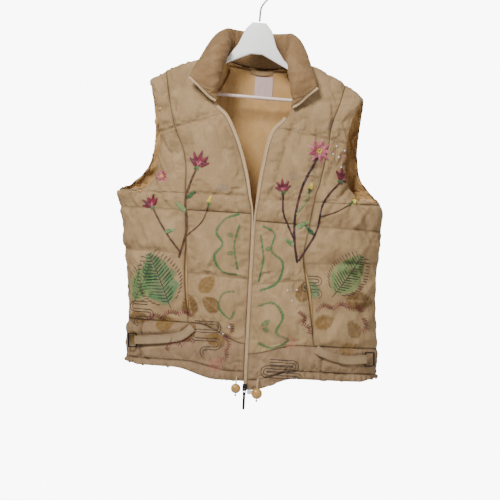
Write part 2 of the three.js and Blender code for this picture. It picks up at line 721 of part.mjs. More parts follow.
// A closed tube through rings of points that follow each other, ringSize to a ring.
function tubeOf(points, ringSize, mirrored) {
  const rings = points.length / ringSize;
  const index = [];
  const quad = (a, b, c, d) => {
    if (mirrored) index.push(a, b, c, a, c, d);
    else index.push(a, c, b, a, d, c);
  };
  for (let r = 0; r < rings - 1; r++) {
    for (let k = 0; k < ringSize; k++) {
      const next = (k + 1) % ringSize;
      quad(r * ringSize + k, r * ringSize + next, (r + 1) * ringSize + next, (r + 1) * ringSize + k);
    }
  }
  const last = (rings - 1) * ringSize;
  quad(3, 2, 1, 0);
  quad(last, last + 1, last + 2, last + 3);
  const geometry = new THREE.BufferGeometry().setFromPoints(points);
  geometry.setIndex(index);
  geometry.computeVertexNormals();
  return geometry;
}

function addRing(sideName, end, lift) {
  const shape = roundedRectangle(RING.length, RING.width, 3);
  shape.holes.push(roundedRectangle(RING.length - 2 * RING.wire, RING.width - 2 * RING.wire, 1.5, new THREE.Path()));
  const geometry = new THREE.ExtrudeGeometry(shape, { depth: RING.wire, bevelEnabled: false, curveSegments: 2 });
  geometry.translate(0, 0, -RING.wire / 2);
  const across = end.along.clone();
  const normal = end.normal.clone();
  const up = normal.clone().cross(across).normalize();
  geometry.applyMatrix4(new THREE.Matrix4().makeBasis(across, up, normal));
  const centre = end.place
    .clone()
    .addScaledVector(end.normal, lift)
    .addScaledVector(across, RING.length / 2 - RING.wire / 2);
  geometry.translate(centre.x, centre.y, centre.z);
  add("side_ring_" + sideName, geometry, MATERIALS.darkMetal);
}

// ---------------------------------------------------------------- back
function addBack() {
  const panel = (rows, channels, height) => {
    const ends = [rows[0] + rowGap, rows[1] - rowGap];
    const rowOf = (t) => mix(...ends, t);
    return wall({
      point: (s, t) => backPoint(0.5 - 0.5 * Math.cos(Math.PI * s), rowOf(t)),
      facing: new THREE.Vector3(0, 1, 0),
      cells: [evenly(20), levelsBetween(ends)],
      over: quilted(rowOf, channels, height),
      under: constant(PADDED_WALL),
      keep: behind,
    });
  };
  add("back_hem_casing", panel([HEM, CASING], [HEM, CASING], FRONT_PUFF.casing), MATERIALS.shell);
  const channels = [CASING, BAND, 3.4, CHEST, 6.4, 8.4, 11, SHOULDER];
  add("back", panel([CASING, SHOULDER], channels, FRONT_PUFF.side), MATERIALS.shell);
}

// The satin that shows through the neck and the armholes, just inside the back.
const LINING = { behindShell: PADDED_WALL + 3.8, thickness: 1.4, top: 13 };
const liningHalf = (v) => mix(0.4, 0.14, THREE.MathUtils.smoothstep(v, 8, 12.4));
function liningPoint(s, v) {
  const half = liningHalf(v);
  return backPoint(0.5 + mix(-half, half, s), v);
}

function addLining() {
  const geometry = wall({
    point: (s, t) => liningPoint(s, mix(4.5, LINING.top, t)),
    facing: new THREE.Vector3(0, 1, 0),
    cells: [evenly(12), levelsBetween([4.5, LINING.top])],
    over: constant(-LINING.behindShell),
    under: constant(LINING.behindShell + LINING.thickness),
  });
  add("back_lining", geometry, MATERIALS.lining);
}

// What is sewn to the lining at the neck, from x1 to x2 and between two rows.
function neckPatch({ x1, x2, rows, lift, thickness, cells }) {
  const point = (s, t) => {
    const v = mix(rows[0], rows[1], t);
    const row = rowAt(BACK_ROWS, v);
    return backPoint((mix(x1, x2, s) - row.rightX) / (row.leftX - row.rightX), v);
  };
  const depth = LINING.behindShell + LINING.thickness + lift;
  return wall({
    point,
    facing: new THREE.Vector3(0, 1, 0),
    cells,
    over: constant(-depth),
    under: constant(depth + thickness),
  });
}

function addNeckTrim() {
  const label = { x1: -10.6, x2: 27.5, rows: [11, 12.2], lift: 0.4, thickness: 0.8, cells: [evenly(4), evenly(4)] };
  add("neck_label", neckPatch(label), MATERIALS.label);
  const loop = { x1: -22, x2: 28, rows: [12.5, 12.9], lift: 0.4, thickness: 1.6, cells: [evenly(6), evenly(1)] };
  add("hanging_loop", neckPatch(loop), MATERIALS.shell);
}

// ---------------------------------------------------------------- collar
const COLLAR = { half: 3.4, edgeHalf: 2, puff: 2.2 };
function addCollar() {
  const thick = (s, t) => {
    const body = COLLAR.half + COLLAR.puff * puffCurve(t) * Math.min(1, 10 * s, 10 * (1 - s));
    return mix(body, COLLAR.edgeHalf, THREE.MathUtils.smoothstep(t, 0.85, 1));
  };
  const geometry = wall({
    point: collarPoint,
    facing: new THREE.Vector3(0, 1, 0),
    cells: [evenly(30), evenly(6)],
    over: thick,
    under: thick,
  });
  add("collar", geometry, MATERIALS.shell);
}

// ---------------------------------------------------------------- hem drawcord
const CORD = { radius: 1.5, sides: 8, steps: 14 };
const TOGGLE = { bore: 2.3, centreY: -95, proud: 0.4 };
const KNOT = { radius: 2.5, clear: 0.4 };
const DRAWCORDS = {
  right: { x: -3, casingY: -79, eyeletZ: -805, toggleZ: -828, radius: 10 },
  left: { x: 40, casingY: -81, eyeletZ: -808, toggleZ: -836, radius: 11 },
};

function addDrawcord(sideName) {
  const { x, casingY, eyeletZ, toggleZ, radius } = DRAWCORDS[sideName];
  const y = TOGGLE.centreY;
  const end = toggleZ - radius - TOGGLE.proud;
  const route = new THREE.CatmullRomCurve3([
    new THREE.Vector3(x, casingY, eyeletZ),
    new THREE.Vector3(x, casingY - 5, eyeletZ - 0.3),
    new THREE.Vector3(x, y + 4, eyeletZ - 3),
    new THREE.Vector3(x, y, eyeletZ - 10),
    new THREE.Vector3(x, y, toggleZ),
    new THREE.Vector3(x, y, end),
  ]);
  const section = new THREE.Shape();
  section.absarc(0, 0, CORD.radius, 0, 2 * Math.PI, false);
  const cord = new THREE.ExtrudeGeometry(section, {
    extrudePath: route,
    steps: CORD.steps,
    curveSegments: CORD.sides / 2,
    bevelEnabled: false,
  });
  add("drawcord_" + sideName, cord, MATERIALS.cord);
  const profile = [];
  const reach = Math.asin(TOGGLE.bore / radius);
  for (let i = 0; i <= 10; i++) {
    const angle = mix(reach, Math.PI - reach, i / 10);
    profile.push(new THREE.Vector2(radius * Math.sin(angle), -radius * Math.cos(angle)));
  }
  profile.push(profile[0].clone());
  const ball = new THREE.LatheGeometry(profile, 14);
  ball.rotateX(Math.PI / 2);
  const toggle = add("toggle_" + sideName, ball, MATERIALS.toggle);
  toggle.position.set(x, y, toggleZ);
  const knot = add("cord_knot_" + sideName, new THREE.SphereGeometry(KNOT.radius, 8, 6), MATERIALS.cord);
  knot.position.set(x, y, end - KNOT.clear - KNOT.radius);
}

// ---------------------------------------------------------------- hanger
const HANGER = { thickness: 11, bevel: 2.2, barRadius: 3.5, barZ: -236, barEnd: 187, tilt: 2.35 };
const HANGER_TOP = [[14, -83], [27, -98], [40, -131], [58, -156], [80, -172], [113, -190], [165, -213], [200, -232]];
const HANGER_END = [[206, -236], [206, -240], [200, -242], [187.5, -242], [187.5, -231]];
const HOOK = { wire: 2, radius: 20, tipAngle: 200, leaveAngle: -38, stemTop: -56, stemEnd: -80.6 };

function addHanger() {
  const hanger = new THREE.Group();
  hanger.rotation.y = THREE.MathUtils.degToRad(HANGER.tilt);
  root.add(hanger);
  const half = [...HANGER_TOP, ...HANGER_END];
  const shape = new THREE.Shape();
  shape.moveTo(-half[0][0], half[0][1]);
  for (const [x, z] of half) shape.lineTo(x, z);
  shape.lineTo(58, -170);
  shape.lineTo(12, -148);
  shape.lineTo(-12, -148);
  shape.lineTo(-58, -170);
  for (const [x, z] of [...half].reverse()) shape.lineTo(-x, z);
  const arms = new THREE.ExtrudeGeometry(shape, {
    depth: HANGER.thickness - 2 * HANGER.bevel,
    bevelThickness: HANGER.bevel,
    bevelSize: HANGER.bevel,
    bevelOffset: -HANGER.bevel,
    bevelSegments: 2,
  });
  arms.rotateX(Math.PI / 2);
  arms.translate(0, HANGER.thickness / 2 - HANGER.bevel, 0);
  add("hanger_arms", arms, MATERIALS.plastic, hanger);
  const bar = new THREE.CylinderGeometry(HANGER.barRadius, HANGER.barRadius, 2 * HANGER.barEnd, 16);
  bar.rotateZ(Math.PI / 2);
  bar.translate(0, 0, HANGER.barZ);
  add("hanger_bar", bar, MATERIALS.plastic, hanger);
  const points = [];
  for (let angle = HOOK.tipAngle; angle >= HOOK.leaveAngle; angle -= 17) {
    const a = THREE.MathUtils.degToRad(angle);
    points.push(new THREE.Vector3(HOOK.radius * Math.cos(a), 0, HOOK.wire - HOOK.radius + HOOK.radius * Math.sin(a)));
  }
  points.push(new THREE.Vector3(5, 0, -43));
  points.push(new THREE.Vector3(0, 0, HOOK.stemTop));
  points.push(new THREE.Vector3(0, 0, HOOK.stemEnd));
  const section = new THREE.Shape();
  section.absarc(0, 0, HOOK.wire, 0, 2 * Math.PI, false);
  const hook = new THREE.ExtrudeGeometry(section, {
    extrudePath: new THREE.CatmullRomCurve3(points),
    steps: 30,
    curveSegments: 4,
    bevelEnabled: false,
  });
  add("hanger_hook", hook, MATERIALS.wire, hanger);
}

addFront("right");
addFront("left");
addBack();
addLining();
addNeckTrim();
addCollar();
addSlider();
addPull();
addRetainer();
addDrawcord("right");
addDrawcord("left");
addHanger();

export default root;
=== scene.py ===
"""A quilted vest hanging on a plain coat hanger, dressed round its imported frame.

Sizes are in millimetres unless a name says otherwise, +Z is up and the fronts face -Y.
"right" and "left" are the wearer's: the right front is on the -X side.
"""

import logging
import math
from dataclasses import dataclass, field
from enum import Enum
from typing import Callable, Sequence

import bmesh
import bpy
import numpy as np
from mathutils import Matrix, Vector
from mathutils.bvhtree import BVHTree


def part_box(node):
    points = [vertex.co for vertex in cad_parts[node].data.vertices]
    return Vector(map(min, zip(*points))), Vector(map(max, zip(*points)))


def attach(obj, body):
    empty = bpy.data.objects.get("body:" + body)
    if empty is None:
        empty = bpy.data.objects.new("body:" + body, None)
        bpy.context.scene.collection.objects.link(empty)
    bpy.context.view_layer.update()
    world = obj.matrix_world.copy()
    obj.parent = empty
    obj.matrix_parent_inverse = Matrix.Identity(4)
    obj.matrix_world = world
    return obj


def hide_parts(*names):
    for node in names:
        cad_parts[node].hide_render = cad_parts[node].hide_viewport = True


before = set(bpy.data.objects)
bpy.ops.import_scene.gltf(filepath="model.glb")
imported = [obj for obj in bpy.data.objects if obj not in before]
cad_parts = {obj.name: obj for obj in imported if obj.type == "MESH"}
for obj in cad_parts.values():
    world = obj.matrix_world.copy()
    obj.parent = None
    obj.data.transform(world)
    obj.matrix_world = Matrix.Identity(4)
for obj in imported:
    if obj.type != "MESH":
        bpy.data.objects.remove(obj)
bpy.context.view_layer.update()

LOG = logging.getLogger("vest")
MM = 0.001
Array = np.ndarray
Colour = tuple[float, float, float]
SurfaceFn = Callable[[Array, Array], Array]

VEST = "vest"
PULL_BODY = "zip_pull"
OUT_FRONT = Vector((0, -1, 0))
OUT_BACK = Vector((0, 1, 0))


class Side(Enum):
    """The wearer's two sides, each with the sign of its X."""

    RIGHT = -1
    LEFT = 1

    @property
    def word(self) -> str:
        """The side's name as the nodes spell it."""
        return self.name.lower()


# ------------------------------------------------------------------ shapes of the garment
SHOULDER_GAP = 0.04
SEAM_LAP = 0.03
PADDED_WALL = 4.0
SIDE_ROUNDNESS = 2.3
SHOULDER_TILT = 0.041
NECK_HALF_WIDTH = 82.0
NECK_DEPTH = 48.0
SHOULDER_TOP = -156.0
SHOULDER_SLOPE = 0.31
SHOULDER_FALL = 7.5e-6
BACK_NECK_DIP = 14.0
CORNER_LIFT = 9.0
COLLAR_LEAN = 4.0
PANEL_WIDTH = 265.0
ROW_HEIGHT = 60.0
FINITE_STEP = 1e-3
BANDS_PER_METRE = 314

HEM, CASING, BAND, CHEST, UNDERARM, NECK_CORNER, SHOULDER = 0, 1, 2, 5, 6, 11, 14


def table(columns: str, *rows: Sequence[float]) -> dict[str, Array]:
    """Turns rows of numbers into named columns.

    Args:
        columns: the columns' names, apart by spaces.
        rows: one sequence a row.

    Returns:
        The columns by name.
    """
    data = np.array(rows, float)
    return {name: data[:, k] for k, name in enumerate(columns.split())}


FRONT_COLUMNS = "in_x in_z in_y out_x out_z out_y seam round"
FRONTS = {
    Side.RIGHT: table(
        FRONT_COLUMNS,
        (9.5, -814, 72, -243, -794, 0, 0.475, 1),
        (9.5, -794, 74, -243, -779, 0, 0.475, 1),
        (9.5, -738, 76, -242, -702, 0, 0.474, 1),
        (9.5, -640, 76, -246, -630, 0, 0.486, 1),
        (9.5, -560, 75, -257, -550, 0, 0.489, 1),
        (8, -476, 72, -270, -473, 0, 0.486, 1),
        (0, -440, 70, -275, -440, 0, 0.469, 1),
        (-9, -400, 67, -243, -442, 8, 0.52, 0.8),
        (-22, -356, 64, -204, -418, 18, 0.605, 0.5),
        (-38, -316, 60, -191, -372, 24, 0.667, 0.35),
        (-58, -280, 53, -191, -325, 27, 0.754, 0.3),
        (-86, -252, 44, -196, -285, 26, 0.766, 0.25),
        (-88, -203, 29, -208, -246, 22, 0.765, 0.2),
        (-84, -160, 14, -221, -218, 13, 0.76, 0.1),
        (-82, -152.6, 0, -223, -212, 0, 0.76, 0),
    ),
    Side.LEFT: table(
        FRONT_COLUMNS,
        (16.5, -831, 74, 272, -804, 0, 0.53, 1),
        (16.5, -810, 76, 272, -787, 0, 0.53, 1),
        (16.5, -758, 78, 271, -736, 0, 0.515, 1),
        (16.5, -650, 78, 262, -635, 0, 0.47, 1),
        (16.5, -572, 77, 264, -556, 0, 0.41, 1),
        (17, -490, 73, 267, -499, 0, 0.437, 1),
        (21, -445, 71, 263, -446, 0, 0.465, 1),
        (26, -400, 69, 241, -447, 8, 0.516, 0.8),
        (31, -366, 66, 203, -422, 18, 0.65, 0.5),
        (36, -334, 62, 189, -380, 24, 0.735, 0.35),
        (46, -304, 55, 189, -332, 27, 0.762, 0.3),
        (68, -276, 46, 194, -292, 26, 0.72, 0.25),
        (84, -220, 31, 206, -254, 22, 0.722, 0.2),
        (84, -168, 14, 216, -236, 13, 0.72, 0.1),
        (82, -159.4, 0, 217, -230, 0, 0.72, 0),
    ),
}
BACK_ROWS = table(
    "right_x right_z left_x left_z edge_y mid_y lift bend",
    (-243, -794, 272, -804, 0, 58, 0, 0),
    (-243, -779, 272, -787, 0, 60, 0, 0),
    (-242, -702, 271, -736, 0, 62, 0, 0),
    (-246, -630, 262, -635, 0, 60, 0, 0),
    (-257, -550, 264, -556, 0, 57, 0, 0),
    (-270, -473, 267, -499, 0, 55, 0, 0),
    (-275, -440, 263, -446, 0, 55, 0, 0),
    (-250, -424, 247, -428, 10, 55, 0.06, 0),
    (-223, -392, 221, -398, 18, 54, 0.16, 0),
    (-212, -352, 210, -360, 24, 52, 0.3, 0),
    (-211, -305, 209, -318, 26, 50, 0.47, 0),
    (-216, -262, 213, -278, 24, 49, 0.66, 0.1),
    (-221, -232, 216, -248, 19, 48, 0.85, 0.25),
    (-223, -218, 217, -236, 13, 48, 0.95, 0.62),
    (-223, -212, 217, -230, 0, 48, 1, 1),
)
COLLAR_STATIONS = table(
    "seam_x seam_y seam_z low_x low_y low_z high_x high_y high_z edge_x edge_y edge_z",
    (77, -52, -252, 93, -57, -240, 112, -60, -222, 131, -56, -207),
    (81, -42, -232, 79, -60, -217, 98, -64, -199, 125, -45, -189),
    (82, -30, -206, 72, -48, -188, 84, -53, -166, 114, -30, -165),
    (80.5, -17, -178, 67, -28, -158, 74, -29, -138, 103, -14, -138),
    (76.5, 0, -152, 66, -5, -138, 68, -4, -118, 88, 0, -113),
    (68, 18, -159, 65, 15, -139, 64, 17, -117, 69, 16, -98),
    (54, 30, -162.6, 53, 32, -142, 52, 36, -119, 53, 36, -97),
    (28, 41.5, -167.2, 28, 45, -145, 28, 50, -121, 28, 50, -98),
    (0, 45, -168.8, 0, 49, -146, 0, 53, -121, 0, 53, -98),
)
FOLD_COLUMNS = "x1 z1 x2 z2 width height"
FOLDS = {
    Side.LEFT: table(
        FOLD_COLUMNS,
        (80, -285, 52, -410, 8, -6),
        (52, -410, 24, -490, 8, -5),
        (62, -320, 38, -420, 9, 4),
        (190, -425, 248, -470, 9, -5),
        (120, -330, 112, -470, 14, 4),
        (70, -540, 84, -720, 16, 4),
    ),
    Side.RIGHT: table(
        FOLD_COLUMNS,
        (-70, -290, -30, -420, 11, 5),
        (-195, -425, -255, -462, 9, -5),
        (-120, -330, -96, -455, 14, 4),
        (-60, -520, -70, -690, 16, 4),
    ),
}
CREASES = {
    Side.LEFT: table(
        FOLD_COLUMNS,
        (205, -400, 160, -470, 5, -2.2),
        (215, -430, 250, -520, 5, -2.0),
        (236, -455, 200, -520, 5, 1.8),
        (150, -250, 160, -360, 7, 1.8),
        (120, -250, 100, -330, 6, -1.8),
        (180, -300, 150, -420, 6, -1.6),
        (60, -500, 40, -620, 6, 1.8),
        (100, -560, 110, -640, 7, -1.6),
        (200, -560, 235, -640, 6, 1.6),
        (40, -690, 60, -760, 7, -1.6),
        (240, -700, 225, -760, 7, 1.5),
    ),
    Side.RIGHT: table(
        FOLD_COLUMNS,
        (-205, -400, -165, -475, 5, -2.2),
        (-222, -430, -258, -520, 5, -2.0),
        (-238, -450, -200, -530, 5, 1.8),
        (-150, -240, -165, -350, 7, 1.8),
        (-110, -270, -90, -380, 6, -1.8),
        (-180, -300, -150, -410, 6, -1.6),
        (-40, -470, -25, -600, 6, 1.8),
        (-90, -570, -100, -650, 7, -1.6),
        (-200, -580, -230, -660, 6, 1.6),
        (-30, -660, -50, -740, 7, -1.6),
        (-220, -710, -215, -760, 7, 1.5),
    ),
}
POCKETS = {Side.RIGHT: (2.15, 4.3), Side.LEFT: (2.2, 4.05)}
POCKET_GAPE = 5.6
CHEST_LINE = 10.2
BAND_SEAMS = {Side.RIGHT: -206.0, Side.LEFT: 164.0}
STRAP_PATHS = {
    Side.RIGHT: table("u v", (0.43, 1.88), (0.52, 1.66), (0.68, 1.56), (0.88, 1.5)),
    Side.LEFT: table("u v", (0.53, 1.93), (0.63, 1.76), (0.76, 1.63), (0.9, 1.68)),
}
STRAP_HALF = 8.5
STRAP_ROOM = 4.0
FALLS = {Side.RIGHT: ((0.42, 0.78), (0.6, 1.0)), Side.LEFT: ((0.62, 0.97), (0.6, 1.0))}


def mix(a: Array, b: Array, t: Array) -> Array:
    """Goes from a to b by the share t."""
    return a + (b - a) * t


def smooth(x: Array, low: float, high: float) -> Array:
    """A soft step from 0 at low to 1 at high."""
    t = np.clip((x - low) / (high - low), 0, 1)
    return t * t * (3 - 2 * t)


def cubic(a: Array, b: Array, c: Array, d: Array, f: Array) -> Array:
    """The smooth curve from b to c at the share f, with a before and d after them."""
    m1, m2, f2 = (c - a) / 2, (d - b) / 2, f * f
    f3 = f2 * f
    ends = (2 * f3 - 3 * f2 + 1) * b + (f3 - 2 * f2 + f) * m1
    return ends + (3 * f2 - 2 * f3) * c + (f3 - f2) * m2


def spline(rows: Array, v: Array) -> Array:
    """Reads a smooth curve through rows.

    Args:
        rows: what each row holds, the first axis counting them.
        v: the places wanted, counted in rows.

    Returns:
        The curve's values at v.
    """
    v = np.asarray(v, float)
    last = len(rows) - 1
    i = np.clip(np.floor(v).astype(int), 0, last - 1)
    f = (v - i).reshape(v.shape + (1,) * (rows.ndim - 1))
    return cubic(*(rows[np.clip(i + k, 0, last)] for k in (-1, 0, 1, 2)), f)


def girth(u: Array) -> Array:
    """How full the body stands at the share u from its middle to its side."""
    return np.maximum(0, 1 - np.abs(u) ** SIDE_ROUNDNESS) ** (1 / SIDE_ROUNDNESS)


def top_z(x: Array) -> Array:
    """The height of the shoulder and neck seam at x."""
    reach = np.abs(x)
    past = np.maximum(reach - NECK_HALF_WIDTH, 0)
    dip = BACK_NECK_DIP * np.maximum(0, 1 - (reach / NECK_HALF_WIDTH) ** 2)
    return SHOULDER_TOP - past * SHOULDER_SLOPE - past**3 * SHOULDER_FALL - dip - x * SHOULDER_TILT


def top_y(x: Array) -> Array:
    """How far back the neck seam lies at x."""
    return NECK_DEPTH * np.maximum(0, 1 - (x / NECK_HALF_WIDTH) ** 2) ** 0.6


def line_relief(lines: dict[str, Array], x: Array, z: Array) -> Array:
    """The height that a table of soft folds adds at x, z."""
    height = np.zeros_like(x)
    for x1, z1, x2, z2, width, rise in zip(*lines.values()):
        dx, dz = x2 - x1, z2 - z1
        t = np.clip(((x - x1) * dx + (z - z1) * dz) / (dx * dx + dz * dz), 0, 1)
        away = np.hypot(x - x1 - t * dx, z - z1 - t * dz) / width
        height += rise * np.exp(-away * away)
    return height


def distance_to(route: Array, x: Array, z: Array) -> Array:
    """How far each x, z lies from a line of short steps."""
    best = np.full(x.shape, np.inf)
    for (x1, z1), (x2, z2) in zip(route[:-1], route[1:]):
        dx, dz = x2 - x1, z2 - z1
        t = np.clip(((x - x1) * dx + (z - z1) * dz) / max(dx * dx + dz * dz, 1e-6), 0, 1)
        best = np.minimum(best, np.hypot(x - x1 - t * dx, z - z1 - t * dz))
    return best


def noise(x: Array, y: Array, seed: int, cells: int = 256) -> Array:
    """Smooth seeded noise from -1 to 1, a unit to a cell."""
    lattice = np.random.default_rng(seed).uniform(-1, 1, (cells, cells))
    i, j = np.floor(x).astype(int), np.floor(y).astype(int)
    fx, fy = x - i, y - j
    fx, fy = fx * fx * (3 - 2 * fx), fy * fy * (3 - 2 * fy)
    at = lambda a, b: lattice[(i + a) % cells, (j + b) % cells]
    return mix(mix(at(0, 0), at(1, 0), fx), mix(at(0, 1), at(1, 1), fx), fy)


def unit(ways: Array) -> Array:
    """The same directions, each of length 1."""
    return ways / np.linalg.norm(ways, axis=-1, keepdims=True)


def steps_along(line: Array) -> Array:
    """How far along a line of points each of them lies."""
    return np.concatenate([[0], np.cumsum(np.linalg.norm(np.diff(line, axis=0), axis=1))])


def shares(columns: int, rows: int) -> list[Array]:
    """The shares across and up of a lattice with so many faces each way."""
    return np.meshgrid(np.linspace(0, 1, columns + 1), np.linspace(0, 1, rows + 1))


@dataclass
class FrontShell:
    """The base surface of one front, from the zip (u 0) to the side (u 1), v in table rows."""

    side: Side

    def seam(self, v: Array) -> Array:
        """The place of the long shaped seam."""
        return spline(FRONTS[self.side]["seam"], v)

    def fall(self, u: Array, v: Array) -> Array:
        """How far a row has fallen from its side level to its zip level."""
        inwards = 1 - u
        hem, band = FALLS[self.side]
        up = np.clip(v / BAND, 0, 1)
        low, high = mix(hem[0], band[0], up), mix(hem[1], band[1], up)
        t = np.clip((inwards - low) / (high - low), 0, 1)
        shaped = t * t * (3 - 2 * t)
        return mix(shaped, inwards, smooth(v, BAND, CHEST))

    def point(self, u: Array, v: Array) -> Array:
        """The surface's points, x y z on the last axis."""
        u, v = np.broadcast_arrays(np.asarray(u, float), np.asarray(v, float))
        row = {key: spline(column, v) for key, column in FRONTS[self.side].items()}
        x = mix(row["in_x"], row["out_x"], u)
        corner = CORNER_LIFT * smooth(u, 0.88, 1) * np.maximum(0, 1 - v)
        ends = mix(top_z(row["in_x"]), top_z(row["out_x"]), u)
        bow = (top_z(x) - ends) * smooth(v, 11.5, 13)
        z = mix(row["out_z"], row["in_z"], self.fall(u, v)) + corner + bow
        depth = mix(row["out_y"], row["in_y"], mix(1 - u * u, girth(u), row["round"]))
        calm = np.minimum(1, 4 * u) * np.minimum(1, (1 - u) * 6) * np.minimum(1, (SHOULDER - v) / 2)
        return np.stack([x, -depth - calm * line_relief(FOLDS[self.side], x, z), z], -1)


def strap_cover(side: Side, x: Array, z: Array) -> Array:
    """1 where a side strap presses on the front, falling to 0 beside it."""
    path = STRAP_PATHS[side]
    place = np.linspace(0, len(path["u"]) - 1, 13)
    route = FrontShell(side).point(spline(path["u"], place), spline(path["v"], place))[:, [0, 2]]
    return 1 - smooth(distance_to(route, x, z), STRAP_HALF + 1.5, STRAP_HALF + 9)


@dataclass
class BackShell:
    """The base surface of the back, from the right side (u 0) to the left (u 1)."""

    def point(self, u: Array, v: Array) -> Array:
        """The surface's points, x y z on the last axis."""
        u, v = np.broadcast_arrays(np.asarray(u, float), np.asarray(v, float))
        row = {key: spline(column, v) for key, column in BACK_ROWS.items()}
        x = mix(row["right_x"], row["left_x"], u)
        across = 2 * u - 1
        fullness = mix(1 - across**2, girth(across), np.where(v < UNDERARM, 1.0, 0.5))
        body = row["edge_y"] + (row["mid_y"] - row["edge_y"]) * fullness
        rise = top_z(x) - mix(top_z(row["right_x"]), top_z(row["left_x"]), u)
        bent = row["bend"] * np.minimum(1, (1 - np.abs(across)) * 12)
        corner = CORNER_LIFT * smooth(np.abs(across), 0.76, 1) * np.maximum(0, 1 - v)
        z = mix(row["right_z"], row["left_z"], u) + rise * row["lift"] + corner
        return np.stack([x, mix(body, top_y(x), bent), z], -1)


@dataclass
class CollarShell:
    """The collar's middle layer, round from the right front corner (u 0) to the left (u 1)."""

    def point(self, u: Array, w: Array) -> Array:
        """The points at the share w from the neck seam to the free edge."""
        u, w = np.broadcast_arrays(np.asarray(u, float), np.asarray(w, float))
        side = np.where(u < 0.5, -1.0, 1.0)
        last = len(COLLAR_STATIONS["seam_x"]) - 1
        place = (1 - np.abs(2 * u - 1)) * last
        parts = []
        for axis in "xyz":
            names = (level + "_" + axis for level in ("seam", "low", "high", "edge"))
            levels = np.stack([spline(COLLAR_STATIONS[name], place) for name in names], 0)
            i = np.clip(np.floor(w * 3).astype(int), 0, 2)
            near = (np.clip(i + k, 0, 3)[None] for k in (-1, 0, 1, 2))
            parts.append(cubic(*(np.take_along_axis(levels, k, 0)[0] for k in near), w * 3 - i))
        x = side * parts[0]
        return np.stack([x - COLLAR_LEAN * w, parts[1], parts[2] - x * SHOULDER_TILT], -1)


def facing_normals(surface: SurfaceFn, s: Array, t: Array, facing: Vector) -> Array:
    """The surface's unit normals on the side that looks along facing."""
    s0, s1 = np.maximum(s - FINITE_STEP, 0), np.minimum(s + FINITE_STEP, 1)
    t0, t1 = np.maximum(t - FINITE_STEP, 0), np.minimum(t + FINITE_STEP, 1)
    n = np.cross(surface(s1, t) - surface(s0, t), surface(s, t1) - surface(s, t0))
    n /= np.maximum(np.linalg.norm(n, axis=-1, keepdims=True), 1e-9)
    middle = n[n.shape[0] // 2, n.shape[1] // 2]
    return n if float(middle @ np.array(facing)) > 0 else -n


def puff_curve(x: Array) -> Array:
    """The rounded rise of wadding between two seams."""
    return np.maximum(0, np.sin(np.pi * np.clip(x, 0, 1))) ** 0.6


# ------------------------------------------------------------------ finishes
class Shader:
    """A material's node tree, with short ways to add and join nodes."""

    def __init__(self, name: str) -> None:
        """Starts a material with its main shader."""
        self.material = bpy.data.materials.new(name)
        self.material.use_nodes = True
        self.tree = self.material.node_tree
        self.main = next(n for n in self.tree.nodes if n.type == "BSDF_PRINCIPLED")

    def put(self, node: bpy.types.Node, name: str | int, value: object) -> None:
        """Links or sets one input."""
        socket = node.inputs[name]
        if isinstance(value, bpy.types.NodeSocket):
            self.tree.links.new(value, socket)
        else:
            socket.default_value = value

    def node(self, kind: str, settings: dict | None = None, **inputs: object) -> bpy.types.Node:
        """Adds a node.

        Args:
            kind: the node's type without its prefix.
            settings: its properties.
            inputs: its sockets by name, a space written as an underscore.

        Returns:
            The node.
        """
        made = self.tree.nodes.new("ShaderNode" + kind)
        for key, value in (settings or {}).items():
            setattr(made, key, value)
        for key, value in inputs.items():
            self.put(made, key.replace("_", " "), value)
        return made

    def place(self, scale: Sequence[float], turn: Sequence[float] = (0, 0, 0)) -> bpy.types.NodeSocket:
        """Object coordinates, scaled and turned."""
        where = self.node("TexCoord").outputs["Object"]
        return self.node("Mapping", None, Vector=where, Scale=scale, Rotation=turn).outputs["Vector"]

    def grain(self, vector: bpy.types.NodeSocket, scale: float, detail: float = 3, rough: float = 0.5):
        """A noise texture's value."""
        made = self.node("TexNoise", None, Vector=vector, Scale=scale, Detail=detail, Roughness=rough)
        return made.outputs["Fac"]

    def bands(
        self, direction: str, vector: bpy.types.NodeSocket, scale: float, distortion: float = 0.0,
    ) -> bpy.types.NodeSocket:
        """Ribs that run across a direction."""
        settings = {"wave_type": "BANDS", "bands_direction": direction}
        made = self.node("TexWave", settings, Vector=vector, Scale=scale, Distortion=distortion)
        return made.outputs["Fac"]

    def math(self, operation: str, a: object, b: object) -> bpy.types.NodeSocket:
        """One sum of two values."""
        made = self.node("Math", {"operation": operation})
        self.put(made, 0, a)
        self.put(made, 1, b)
        return made.outputs[0]

    def ramp(self, value: bpy.types.NodeSocket, low: float, high: float, start: float = 0, end: float = 1):
        """Spreads a value's range from low..high to start..end."""
        made = self.node("MapRange", None, Value=value)
        for name, number in (("From Min", low), ("From Max", high), ("To Min", start), ("To Max", end)):
            self.put(made, name, number)
        return made.outputs[0]

    def blend(self, factor: object, a: object, b: object) -> bpy.types.NodeSocket:
        """Mixes two colours."""
        made = self.node("Mix", {"data_type": "RGBA", "blend_type": "MIX", "clamp_factor": True})
        self.put(made, 0, factor)
        self.put(made, 6, a)
        self.put(made, 7, b)
        return made.outputs[2]

    def bump(self, height: bpy.types.NodeSocket, strength: float, distance_mm: float, under: object = None):
        """Raises a height as a bump, over another if given."""
        made = self.node("Bump", None, Height=height, Strength=strength, Distance=distance_mm * MM)
        if under is not None:
            self.put(made, "Normal", under)
        return made.outputs["Normal"]

    def finish(self, **inputs: object) -> bpy.types.Material:
        """Sets the main shader's inputs and gives the material."""
        for key, value in inputs.items():
            self.put(self.main, key.replace("_", " "), value)
        return self.material


def linear(red: float, green: float, blue: float, alpha: bool = True) -> tuple[float, ...]:
    """A colour given in screen values from 0 to 255, as light."""
    shares_ = (c / 255 for c in (red, green, blue))
    values = tuple(c / 12.92 if c <= 10 / 255 else ((c + 0.055) / 1.055) ** 2.4 for c in shares_)
    return values + (1.0,) if alpha else values


